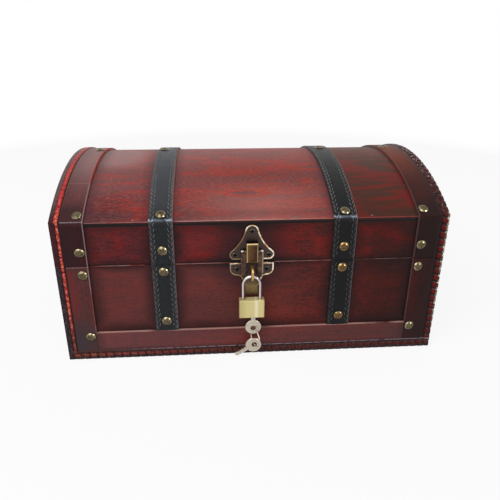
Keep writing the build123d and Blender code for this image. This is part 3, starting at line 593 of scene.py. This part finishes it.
def plate_finish():
    """Latch plates and hinges: bright rubbed rims, partly painted highlights, round dark sunk faces."""
    f, tarnish, _, aside, z = aged_brass("antique brass latch", 2.4, 0.3, 4)
    raised = f.y.rising(plate_face, plate_face - 0.3)
    glow = (raised * 0.7 + tarnish * 0.5 - 0.08).rising(0.1, 0.9)
    f.colour = f.ramp(glow, dye(66, 52, 48), dye(90, 70, 52), dye(122, 94, 66))

    # Rims: rubbed, with painted highlights on the right, at the top and at the joint, and painted shade on
    # the left
    on_top = z.rising(lid_plate_top - 3, lid_plate_top)
    rubbed = strongest(aside.rising(-3, 6), on_top, z.near(base_plate_top, 1.1)) * 0.8 + 0.2
    rim = f.mix(f.cloud(f.x / 6, 1.0, z / 6, 2.0).rising(0.4, 0.6), dye(206, 164, 120), dye(250, 238, 214))
    f.paint(raised * tarnish.rising(0.3, 0.5) * rubbed, rim)
    # Painted shade on the left flank
    dull = aside.rising(-2, -6) * z.rising(lid_plate_top - 2, lid_plate_top - 4) * z.rising(84, 86)
    f.paint(dull * raised * 0.6, dye(112, 84, 60))

    # The tail under the staple, the staple's wire and the hinges
    tail = (z < tail_top) * abs(aside).rising(tail_half + 0.2, tail_half - 0.2)
    # The tail darker near its top: painted shade under the hasp
    olive = f.mix(z.rising(tail_top - 1, tail_top - 6.5), dye(78, 62, 42), dye(132, 110, 72))
    f.paint(tail * 0.85, olive)
    f.paint((f.y < staple_front) * 0.8, dye(196, 156, 96))
    hinge = f.y > front_face - 1
    mottled = f.mix(tarnish.rising(0.2, 0.9), dye(66, 50, 40), dye(122, 96, 66))
    f.paint(hinge * 0.7, mottled)
    f.paint(hinge * f.edges(0.7) * (0.4 + tarnish * 0.6), dye(206, 172, 124))
    return f.coat(0.3 + tarnish * 0.22, 0.8)


def hasp_finish():
    """The hinged leaf and its bridge: brown in the middle, with painted highlights at the corners."""
    f, tarnish, brushed, aside, z = aged_brass("antique brass hasp", 2.6, 0.35, 5)
    off = abs(aside)
    glow = (tarnish * 0.8 + brushed * 0.25).rising(0.25, 0.85)
    f.colour = f.ramp(glow, dye(52, 38, 38), dye(84, 62, 54), dye(132, 104, 78))
    # Painted highlights on the right edge of the leaf and on the ends of its hinge bar
    f.paint(aside.rising(hasp_half - 1.1, hasp_half) * 0.75, dye(188, 166, 142))
    bar_end_highlight = z.near(hasp_pivot + 1, 1) * off.near(hasp_half - 0.9, 1.5)
    f.paint(bar_end_highlight.rising(0.1, 0.5) * 0.85, dye(226, 216, 208))

    # The bridge block: golden low on its left, with painted highlight and shade on its bevels and painted
    # shadow on its walls
    on_block = off.rising(block_half + 0.1, block_half - 0.1) * z.rising(block_low, block_low + 0.1)
    wall_shadow = on_block * f.y.rising(block_wall, block_wall + 0.15)
    bevel = on_block * f.y.rising(block_front, block_front + 0.18) - wall_shadow
    golden = (aside * -0.1 + (z - hasp_pivot) * 0.02 + tarnish - 0.15).rising(0.0, 0.8)
    f.paint(on_block, f.mix(golden, dye(62, 40, 28), dye(104, 74, 42)))
    on_top = z.rising(block_high - 0.5, block_high)
    lit = strongest(off.rising(2.6, 3.4), on_top, z.rising(block_low + 1.3, block_low + 0.9))
    f.paint(bevel, f.mix(lit, dye(98, 76, 54), dye(200, 176, 128)))
    # Painted shadow: black walls of the block
    f.paint(wall_shadow, dye(20, 13, 13))
    # Painted shadow on the leaf below the block
    fork_shadow = off.rising(5.4, 4.2) * (z < block_low - 0.4)
    f.paint(fork_shadow * 0.75, dye(34, 25, 24))
    return f.coat(0.28 + tarnish * 0.2, 0.88)


def padlock_finish():
    """Brass brushed upright, with a painted highlight streak and painted shade at its edges and its left."""
    f = Finish("padlock brass")
    upright, haze = f.lumps(0.22, 3.0, tall=9), f.lumps(5, 2.0, tall=40)
    streak = f.cloud(f.x / 2.4 + 3.3, f.y / 2.4, f.z / 60, 2.0) * 0.5 + f.x.near(1.2, 3.6) * 0.5
    f.colour = f.mix(haze * 0.6 + upright * 0.25, dye(224, 210, 152), dye(196, 178, 118))
    # Painted highlight: a bright upright streak
    f.paint(streak.rising(0.4, 0.9) * 0.55, dye(250, 246, 220))
    # Painted shade towards the edges and the left
    edge = abs(f.x - padlock_x).rising(padlock_half - 1.3, padlock_half)
    f.paint(edge * 0.35, dye(140, 118, 66))
    f.paint(f.x.rising(-3, -11) * 0.3, dye(146, 128, 74))
    f.bump(upright, 0.03, 0.6)
    return f.coat(0.3 + upright * 0.12, 0.75 - f.z.rising(padlock_top, padlock_top + 0.3) * 0.6)


def steel_finish(name, low, high, rough):
    """Scratched steel or nickel, between two colours."""
    f = Finish(name)
    haze, scratch = f.lumps(2), f.lumps(0.2, 2.0, tall=3)
    f.bump(scratch * 0.5 + haze * 0.5, 0.03, 0.15)
    f.colour = f.mix(haze * 0.6 + scratch * 0.4, low, high)
    return f.coat(rough + scratch * 0.12, 0.9)


def shackle_finish():
    """Polished steel wire, with painted dark reflections along its sides."""
    f = Finish("shackle steel")
    haze = f.lumps(5, 2.0)
    f.colour = f.mix(haze, dye(190, 178, 174), dye(230, 222, 218))
    # Painted reflection: dark where the wire turns to the sides
    f.paint(abs(f.facing(0) + 0.25).rising(0.22, 0.66) * 0.85, dye(82, 66, 66))
    f.bump(haze, 0.02)
    return f.coat(0.12 + haze * 0.1, 0.9)


def screw_finish():
    """Screws with a ring of painted highlight, broken by wear, round a black middle."""
    f = Finish("dark screws")
    worn = f.lumps(0.8)
    # Painted highlight: a ring on the slope of each head
    ring = abs(abs(f.facing(1)) - 0.8).rising(0.19, 0.1)
    f.colour = f.mix(ring * worn.rising(0.25, 0.5), dye(13, 11, 11), dye(132, 128, 116))
    f.bump(worn, 0.05, 0.15)
    return f.coat(0.35 + worn * 0.2, 0.8)


finishes = {
    "board_wood": board_finish(),
    "skin_wood": skin_finish(),
    "band_wood": band_finish(),
    "rail_wood": rail_finish(),
    "moulding_wood": moulding_finish(),
    "black_leather": leather_finish(),
    "thread": thread_finish(),
    "nail_brass": nail_finish(),
    "pin_steel": steel_finish("pin steel", dye(84, 72, 72), dye(150, 138, 138), 0.35),
    "antique_brass": plate_finish(),
    "hasp_brass": hasp_finish(),
    "dark_screws": screw_finish(),
    "padlock_brass": padlock_finish(),
    "shackle_steel": shackle_finish(),
    "key_nickel": steel_finish("key nickel", dye(150, 138, 120), dye(222, 212, 196), 0.28),
}


def dress(node, finish):
    """Gives a node of the model its finish."""
    slots = frame["nodes"][node].data.materials
    for i in range(len(slots)):
        slots[i] = finishes[finish]
    if not slots:
        slots.append(finishes[finish])


for binding in frame["record"]["subparts"]:
    dress(binding["node"], binding["material_slot"])
dress("front_bottom_rail", "rail_wood")
dress("hasp_leaf", "hasp_brass")
dress("latch_bridge", "hasp_brass")


# Pieces made here
def stand(name, data):
    """A new object in the scene."""
    made = bpy.data.objects.new(name, data)
    bpy.context.scene.collection.objects.link(made)
    return made


def piece(name, mesh, body, finish, replaced=None):
    """A finished piece that rides on a body of the model and can stand for one of its nodes."""
    mesh.materials.append(finishes[finish])
    made = stand(name, mesh)
    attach(made, body)
    if replaced:
        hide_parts(replaced)


class Form:
    """Points, faces and marks of a mesh while it is built, in millimetres."""

    def __init__(self):
        self.points = []
        self.faces = []
        self.marks = {}

    def add(self, point, **marks):
        self.points.append([c * mm for c in point])
        for name, value in marks.items():
            self.marks.setdefault(name, {})[len(self.points) - 1] = value
        return len(self.points) - 1

    def skin(self, rows, capped=True):
        """Faces between rings of points, with flat ends."""
        for low, high in zip(rows, rows[1:]):
            for i in range(len(low)):
                j = (i + 1) % len(low)
                self.faces.append((low[i], low[j], high[j], high[i]))
        if capped:
            self.faces.append(tuple(reversed(rows[0])))
            self.faces.append(tuple(rows[-1]))

    def mesh(self, name, sharp):
        """The mesh, smooth but for edges sharper than an angle in degrees."""
        made = bpy.data.meshes.new(name)
        made.from_pydata(self.points, [], self.faces)
        for mark, values in self.marks.items():
            layer = made.attributes.new(mark, "FLOAT", "POINT")
            for i, value in values.items():
                layer.data[i].value = value
        shape = bmesh.new()
        shape.from_mesh(made)
        bmesh.ops.recalc_face_normals(shape, faces=shape.faces)
        shape.to_mesh(made)
        shape.free()
        made.polygons.foreach_set("use_smooth", [True] * len(made.polygons))
        made.set_sharp_from_angle(angle=math.radians(sharp))
        return made


def ease(value, low, high):
    """0 below low, 1 above high, and smooth between."""
    share = min(1.0, max(0.0, (value - low) / (high - low)))
    return share * share * (3 - 2 * share)


def on_arch(radius, lean):
    """Y and Z at a distance from the axis of the lid's curve, at an angle from the crown."""
    return radius * math.sin(lean), arch_centre + radius * math.cos(lean)


# Carved mouldings. A place on a strip is s along it and u across a face, measured from the corner.
notch_pitch = 6.4
notch_slant = math.tan(math.radians(25))
notch_wobble = 0.35
rows_per_notch = 12
margin_depth = 1.0
corner_depth = 0.4
ridge_depth = corner_depth * 0.45
cut_depth = 1.0
carved_across = (8.0, 7.6, 7.0, 6.7, 6.2, 5.6, 5.0, 4.4, 3.8, 3.2, 2.6, 2.0, 1.4, corner_depth)
two_leg_back = ((1, 8.0, 3.0), (0, 3.0, 3.0), (0, 8.0, 3.0))
one_leg_back = ((0, 0.35, 1.6), (0, 0.04, 3.0), (0, 8.0, 3.0))
crease_slope = 0.583
# Side, ridge on the uprights and on the arch, run, bite on the uprights and on the arch
left_cuts = (-1, "left", 4.4, 3.3, 7.6, 0.55, 0.15)
right_cuts = (1, "right", 0.9, 0.9, 6.2, 1.0, 0.8)
plain_cuts = (2.4, 6.4)
bottom_cuts = (2.4, 6.2)


class Carving:
    """The cuts along one leg of a strip: a facet by the corner, pillows, then a flat margin."""

    def __init__(self, low, high, ridge, run, slant, seed, bite=1.0):
        self.low = low
        self.step = (high - low) / round((high - low) / notch_pitch)
        self.ridge, self.run, self.slant, self.seed, self.bite = ridge, run, slant, seed, bite
        toothed = ridge < 2
        self.flat = 0.55 if toothed else 0.7
        self.dark = 1.0 if toothed else 0.45 * bite
        self.teeth = 1.3 if toothed else 0.75

    def at(self, s, u):
        """Depth below the face, and the marks of crest, facet and margin. Crest and facet fall in the cuts,
        which the finish paints as shade.
        """
        if u > self.run:
            return margin_depth, 0.0, 0.0, 1.0
        shift = self.slant * (u - self.ridge)
        wobble = notch_wobble * noise.noise(Vector((s / 9, u / 5, self.seed)))
        turn = ((s - shift - self.low) / self.step + 0.5 + wobble / self.step) % 1.0
        gap = min(turn, 1 - turn) * self.step
        if u >= self.ridge:
            middle = (self.ridge + self.run) / 2
            half = (self.run - self.ridge) / 2
            bulge = max(0.0, 1 - ((u - middle) / half) ** 2)
            wide = 0.55 + 0.9 * (1 - bulge)
            cut = 1 - ease(gap, wide * 0.3, wide + 0.75)
            edge = ridge_depth if u < middle else margin_depth
            depth = edge * (1 - bulge) ** 1.4 + cut * cut_depth * self.bite * (0.35 + 0.65 * bulge)
            return depth, bulge**self.flat * (1 - cut * self.dark), 0.0, 0.0
        share = (self.ridge - u) / self.ridge
        cut = 1 - ease(gap, self.teeth * 0.2, self.teeth)
        depth = corner_depth * (0.45 + 0.55 * share) + cut * self.teeth * self.bite * 0.75
        return depth, 0.25 * (1 - cut), 1 - cut * self.bite * 0.9, 0.0


def carved_strip(name, body, node, place, legs, span, backs):
    """A strip whose rows run from span[0] to span[1], set back at each end to meet the next strip."""
    form = Form()
    count = round((span[1] - span[0]) / notch_pitch * rows_per_notch)
    profile = [(0, u) for u in carved_across]
    if len(legs) > 1:
        profile += [(1, u) for u in carved_across[-2::-1]]
    hidden = two_leg_back if len(legs) > 1 else one_leg_back

    def spot(share, leg, u, depth):
        low = span[0] + backs[0](leg, u, depth)
        high = span[1] - backs[1](leg, u, depth)
        return low + (high - low) * share

    rows = []
    for i in range(count + 1):
        share = i / count
        row = []
        for leg, u in profile:
            depth, crest, facet, margin = legs[leg].at(spot(share, leg, u, corner_depth), u)
            depth = max(depth, corner_depth) if u == corner_depth else depth
            point = place(spot(share, leg, u, depth), u, depth, leg)
            row.append(form.add(point, crest=crest, facet=facet, margin=margin))
        for leg, u, depth in hidden:
            row.append(form.add(place(spot(share, leg, u, depth), u, depth, leg), facet=1.0))
        rows.append(row)
    form.skin(rows)
    piece(name, form.mesh(name, 50), body, "moulding_wood", node)


def butted(leg, u, depth):
    """A square end."""
    return 0.0


def corner_mitre(leg, u, depth):
    """An end that meets two others in the corner of the box."""
    return max(u, depth)


def crease_mitre(leg, u, depth):
    """An end at the crease, between an upright and the arch."""
    return crease_slope * (depth if leg == 0 else u)


def upright_place(side_x, side_y):
    """Places on an upright corner: s is the height."""

    def place(s, u, depth, leg):
        near, far = (u, depth) if leg == 0 else (depth, u)
        return (side_x * (half_length - near), side_y * (half_depth - far), s)

    return place


def bottom_place(side, lengthwise):
    """Places on a bottom strip: s runs along X or Y, u is the height."""

    def place(s, u, depth, leg):
        if lengthwise:
            return (s, side * (half_depth - depth), u)
        return (side * (half_length - depth), s, u)

    return place


def arch_place(side):
    """Places over an end of the lid: s is the distance along the arch from its top."""

    def place(s, u, depth, leg):
        near, down = (u, depth) if leg == 0 else (depth, u)
        return (side * (half_length - near), *on_arch(arch_radius - down, s / arch_radius))

    return place


def corner_strips(side_x, hand, ridge, run, bite):
    """The upright strips at one end of the box, each cut at the joint."""
    for side_y, face in ((-1, "front"), (1, "back")):
        for body, low, high, first, backs in (
            ("base", 0.0, base_top, bead_width, (corner_mitre, butted)),
            ("lid", lid_low, crease, lid_low, (butted, crease_mitre)),
        ):
            seen = Carving(first, high, ridge, run, -notch_slant * side_x * side_y, side_x, bite)
            legs = [seen, Carving(first, high, *plain_cuts, 0.0, 7)]
            node = f"{body}_corner_moulding_front_{hand}" if side_y < 0 else f"{body}_corner_mouldings_back"
            name = f"{body}_corner_strip_{face}_{hand}"
            carved_strip(name, body, node, upright_place(side_x, side_y), legs, (low, high), backs)


def arch_strip(side_x, hand, ridge, run, bite):
    """The strip over the arch at one end of the lid."""
    sweep = arch_radius * math.asin(half_depth / arch_radius)
    seen = Carving(-sweep, sweep, ridge, run, notch_slant * side_x, 3, bite)
    legs = [seen, Carving(-sweep, sweep, *plain_cuts, 0.0, 9)]
    place, backs = arch_place(side_x), (crease_mitre, crease_mitre)
    node = f"lid_arch_moulding_{hand}"
    carved_strip(f"arch_strip_{hand}", "lid", node, place, legs, (-sweep, sweep), backs)


def bottom_strip(side, face, half, lengthwise, seed):
    """The strip along the bottom of one face of the box."""
    legs = [Carving(bead_width - half, half - bead_width, *bottom_cuts, notch_slant * side, seed)]
    place, backs = bottom_place(side, lengthwise), (corner_mitre, corner_mitre)
    carved_strip(f"bottom_strip_{face}", "base", f"bottom_moulding_{face}", place, legs, (-half, half), backs)


def mouldings():
    """All carved strips: pillows behind a wide facet on the left, teeth on the right."""
    for side_x, hand, ridge, arch_ridge, run, bite, arch_bite in (left_cuts, right_cuts):
        corner_strips(side_x, hand, ridge, run, bite)
        arch_strip(side_x, hand, arch_ridge, run, arch_bite)
        bottom_strip(side_x, hand, half_depth, False, 11)
    bottom_strip(-1, "front", half_length, True, 13)
    bottom_strip(1, "back", half_length, True, 13)


# Leather straps, each with two rows of stitches along both edges
strap_section = [
    (-9.0, 0.0), (-9.0, 0.9), (-8.85, 1.35), (-8.5, 1.6), (-8.1, 1.66), (-7.7, 1.6), (-7.3, 1.48),
    (-6.6, 1.5), (-5.9, 1.46), (-5.4, 1.58), (-4.8, 1.7), (-3.2, 1.78), (0.0, 1.82),
]
rim_steps, arch_steps, base_steps = 14, 60, 24
bend_drop = 1.6
bend_lean = 0.011
strap_clearance = 0.05
stitch_pitch = 4.5
stitch_length = 3.7
stitch_wire = 0.27
stitch_steps = 5
stitch_sides = 6
stitch_rows = ((7.65, 0.6), (5.3, -0.6))
stitch_margin = 0.2


def lid_strap_line():
    """The line under a strap from the front's joint over the curve to the back's."""
    top = arch_centre + math.sqrt(skin_radius**2 - front_face**2) - bend_drop
    sweep = math.asin(front_face / skin_radius) - bend_lean
    half = [(-front_face, lid_low + (top - lid_low) * i / rim_steps) for i in range(rim_steps + 1)]
    half += [on_arch(skin_radius, sweep * i / arch_steps - sweep) for i in range(arch_steps + 1)]
    return half + [(-y, z) for y, z in reversed(half[:-1])]


def base_strap_line(side):
    """The line under a strap from the rail up to the joint."""
    low = rail_top + strap_clearance
    return [(side * front_face, low + (base_top - low) * i / base_steps) for i in range(base_steps + 1)]


def along_line(line, outward):
    """Distance, place and outward normal at each point of a line in y and z."""
    spots = []
    travel = 0.0
    for i, (y, z) in enumerate(line):
        before, after = line[max(0, i - 1)], line[min(len(line) - 1, i + 1)]
        turned = outward / math.dist(before, after)
        if i:
            travel += math.dist((y, z), line[i - 1])
        normal = ((before[1] - after[1]) * turned, (after[0] - before[0]) * turned)
        spots.append((travel, (y, z), normal))
    return spots


def between(spots, travel):
    """Place and normal at a distance along a line."""
    for low, high in zip(spots, spots[1:]):
        if travel <= high[0]:
            share = (travel - low[0]) / (high[0] - low[0])
            return [[a + (b - a) * share for a, b in zip(low[i], high[i])] for i in (1, 2)]
    return spots[-1][1:]


def sway(travel, seed):
    """How far a strap wanders to one side."""
    return 0.22 * noise.noise(Vector((travel / 30, seed, 0)))


def strap(name, middle, spots, body, node, seed):
    """A length of leather with rounded edges, furrows for its stitches and a wavy face."""
    section = strap_section + [(-c, h) for c, h in reversed(strap_section[:-1])]
    form = Form()
    rows = []
    for travel, (y, z), (ny, nz) in spots:
        aside = sway(travel, seed)
        row = []
        for c, h in section:
            swell = 0.06 * noise.noise(Vector((travel / 7, c / 4, seed))) if h > 1.4 else 0.0
            cut = 0.8 if c > 8.4 else 0.0
            row.append(form.add((middle + c + aside, y + ny * (h + swell), z + nz * (h + swell)), cut=cut))
        rows.append(row)
    form.skin(rows)
    piece(name, form.mesh(name, 60), body, "black_leather", node)


def stitch(form, spots, travel, middle, offset, lean, edge, seed):
    """A slanted stitch whose ends dip into the leather."""
    rings = []
    for k in range(stitch_steps):
        share = k / (stitch_steps - 1) - 0.5
        at = travel + share * stitch_length
        if not stitch_margin < at < spots[-1][0] - stitch_margin:
            continue
        (y, z), (ny, nz) = between(spots, at)
        c = middle + sway(at, seed) + edge * (offset + lean * share * 2)
        arched = 1 - (2 * share) ** 2
        height = 1.5 + 0.2 * arched - 0.25 * (abs(share) > 0.45)
        wire = stitch_wire * (0.75 + 0.25 * arched)
        ring = []
        for turn in range(stitch_sides):
            angle = turn * 2 * math.pi / stitch_sides
            h = height + wire * math.sin(angle)
            ring.append(form.add((c + wire * math.cos(angle), y + ny * h, z + nz * h)))
        rings.append(ring)
    if len(rings) > 1:
        form.skin(rings)


def stitches(name, middle, spots, body, seed):
    """Two rows of stitches along each edge of a strap."""
    form = Form()
    total = spots[-1][0]
    count = int((total - 3) / stitch_pitch)
    start = (total - (count - 1) * stitch_pitch) / 2
    for edge in (-1, 1):
        for row, (offset, lean) in enumerate(stitch_rows):
            for i in range(count):
                travel = start + stitch_pitch * (i + 0.5 * row) - stitch_pitch / 4
                slip = 0.12 * noise.noise(Vector((i * 1.7, row, seed + edge)))
                stitch(form, spots, travel, middle, offset + slip, lean, edge, seed)
    piece(name, form.mesh(name, 40), body, "thread")


def straps():
    """Two straps over the lid, and two down the front and the back of the base."""
    lid_line = along_line(lid_strap_line(), 1)
    for side_x, hand in ((-1, "left"), (1, "right")):
        middle = side_x * strap_x
        seed = side_x * 3.1
        strap(f"lid_strap_leather_{hand}", middle, lid_line, "lid", f"lid_strap_{hand}", seed)
        stitches(f"lid_strap_stitches_{hand}", middle, lid_line, "lid", seed)
        for side_y, face in ((-1, "front"), (1, "back")):
            line = along_line(base_strap_line(side_y), -side_y)
            node = f"base_strap_front_{hand}" if side_y < 0 else "base_straps_back"
            seed = side_x * 5.3 + side_y
            strap(f"base_strap_leather_{face}_{hand}", middle, line, "base", node, seed)
            stitches(f"base_strap_stitches_{face}_{hand}", middle, line, "base", seed)


# Domed nails
nail_dome = 2.05
nail_profile = (
    (4.0, -0.25), (4.02, 0.0), (3.98, 0.22), (3.8, 0.42), (3.5, 0.72), (3.0, 1.13), (2.4, 1.5),
    (1.8, 1.75), (1.2, 1.92), (0.6, 2.02),
)
nail_turns = 28
nail_tilt = 0.07
nail_dent = 0.04
nail_dent_size = 1.6
nail_ragged = 0.012
band_nail_x = 130.5
band_nail_heights = (21.0, 76.0)
strap_nail_heights = (33.3, 77.0)
rim_nail_height = 94.7
crease_nail_y = 92.0
crown_nail_y = 16.0
crown_nail_aside = 3.0


def base_nail_spots():
    """Place and direction of each nail of the base."""
    columns = ((band_nail_x, band_thick, band_nail_heights), (strap_x, strap_thick, strap_nail_heights))
    for side_y in (-1, 1):
        for side_x in (-1, 1):
            for x, out, heights in columns:
                for z in heights:
                    yield (side_x * x, side_y * (front_face + out), z), (0, side_y, 0)


def lid_nail_spots():
    """Place and direction of each nail of the lid. One crown nail sits off its strap's middle."""
    for x, out in ((band_nail_x, band_thick), (strap_x, strap_thick)):
        for side_x in (-1, 1):
            for side_y in (-1, 1):
                yield (side_x * x, side_y * (front_face + out), rim_nail_height), (0, side_y, 0)
            for y in (-crease_nail_y, crown_nail_y, crease_nail_y):
                lean = math.asin(y / skin_radius)
                slipped = x == strap_x and side_x < 0 and y == crown_nail_y
                aside = crown_nail_aside if slipped else 0.0
                place = (side_x * (x + aside), *on_arch(skin_radius + out, lean))
                yield place, (0, math.sin(lean), math.cos(lean))


def nails(name, body, node, spots, seed):
    """Hammered domes with a thin lip, no two alike."""
    form = Form()
    pick = random.Random(seed)
    for place, out in spots:
        turn = Vector((0, 0, 1)).rotation_difference(Vector(out)).to_matrix()
        turn = turn @ Matrix.Rotation(pick.uniform(-nail_tilt, nail_tilt), 3, "X")
        turn = turn @ Matrix.Rotation(pick.uniform(-nail_tilt, nail_tilt), 3, "Y")
        spin = pick.uniform(0, 9)
        rows = []
        for r, h in nail_profile:
            row = []
            for i in range(nail_turns):
                angle = 2 * math.pi * i / nail_turns
                x, y = r * math.cos(angle), r * math.sin(angle)
                dent = noise.noise(Vector((x / nail_dent_size + spin, y / nail_dent_size, spin)))
                ragged = noise.noise(Vector((math.cos(angle) + spin, math.sin(angle), 2)))
                edge = 1 + nail_ragged * ragged
                rise = h + dent * nail_dent * min(1, h)
                spot = Vector(place) + turn @ Vector((x * edge, y * edge, rise))
                row.append(form.add(spot, rub=ease(h, 0.1, 1.8)))
            rows.append(row)
        form.skin(rows, capped=False)
        top = form.add(Vector(place) + turn @ Vector((0, 0, nail_dome)), rub=1.0)
        last = rows[-1]
        form.faces += [(last[i], last[(i + 1) % nail_turns], top) for i in range(nail_turns)]
    piece(name, form.mesh(name, 70), body, "nail_brass", node)


mouldings()
straps()
nails("base_domed_nails", "base", "base_nails", base_nail_spots(), 11)
nails("lid_domed_nails", "lid", "lid_nails", lid_nail_spots(), 23)


# Floor, light and camera, in metres and degrees
white = dye(255, 255, 255)
floor_radius = 40.0
floor_gap = 0.05
floor_share = 0.88
lamp_target = (0.0, 0.0, 0.06)
camera_pan = -4.53
camera_tilt = 24.26
camera_roll = 0.4


def floor():
    """A pale floor. What the camera and the metals see of it stays pale to the horizon."""
    mesh = bpy.data.meshes.new("floor")
    shape = bmesh.new()
    bmesh.ops.create_circle(shape, cap_ends=True, segments=64, radius=floor_radius)
    shape.to_mesh(mesh)
    shape.free()
    f = Finish("pale floor", shine=0.0)
    f.feed(f.surface.inputs["Roughness"], 0.9)
    seen = f.seen()
    far = (f.x**2 + f.y**2).root().rising(260, 900)
    f.feed(f.surface.inputs["Base Color"], f.mix(seen, dye(190, 190, 190), white))
    glow = f.node("ShaderNodeEmission").outputs[0]
    sockets = {0: far.at_least(floor_share) * seen, 1: f.surface.outputs[0], 2: glow}
    both = f.node("ShaderNodeMixShader", {}, sockets)
    f.feed(f.tree.nodes["Material Output"].inputs["Surface"], both.outputs[0])
    mesh.materials.append(f.material)
    made = stand("floor", mesh)
    made.location = (0.0, 0.0, -floor_gap * mm)


def sky(strength):
    """A white room: full strength where it is seen, softer where it only lights."""
    world = bpy.data.worlds.new("white room")
    bpy.context.scene.world = world
    world.use_nodes = True
    room = Bench(world.node_tree)
    back = world.node_tree.nodes["Background"].inputs
    room.feed(back["Color"], white)
    room.feed(back["Strength"], room.seen() * (1 - strength) + strength)


def softbox(name, place, size, power, diffuse=True):
    """A square lamp aimed at the chest."""
    lamp = bpy.data.lights.new(name, "AREA")
    lamp.shape = "SQUARE"
    lamp.size = size
    lamp.energy = power
    made = stand(name, lamp)
    made.location = place
    made.rotation_euler = (Vector(lamp_target) - Vector(place)).to_track_quat("-Z", "Y").to_euler()
    made.visible_diffuse = diffuse


def camera():
    """The photograph's viewpoint: a little left of the middle, looking down."""
    view = bpy.data.cameras.new("camera")
    view.lens = 37.72
    made = stand("camera", view)
    made.location = Vector((-32.0, -461.3, 257.6)) * mm
    turn = Matrix.Rotation(math.radians(camera_pan), 3, "Z")
    turn = turn @ Matrix.Rotation(math.radians(90 - camera_tilt), 3, "X")
    turn = turn @ Matrix.Rotation(math.radians(camera_roll), 3, "Z")
    made.rotation_euler = turn.to_euler()
    bpy.context.scene.camera = made


bpy.context.scene.view_settings.view_transform = "Standard"
floor()
sky(0.42)
softbox("key light", (-0.6, -0.85, 0.98), 0.9, 9.5)
softbox("fill light", (1.4, -1.2, 0.9), 1.2, 2.5)
softbox("glint light", (0.83, -0.71, 0.5), 0.09, 5.0, diffuse=False)
camera()
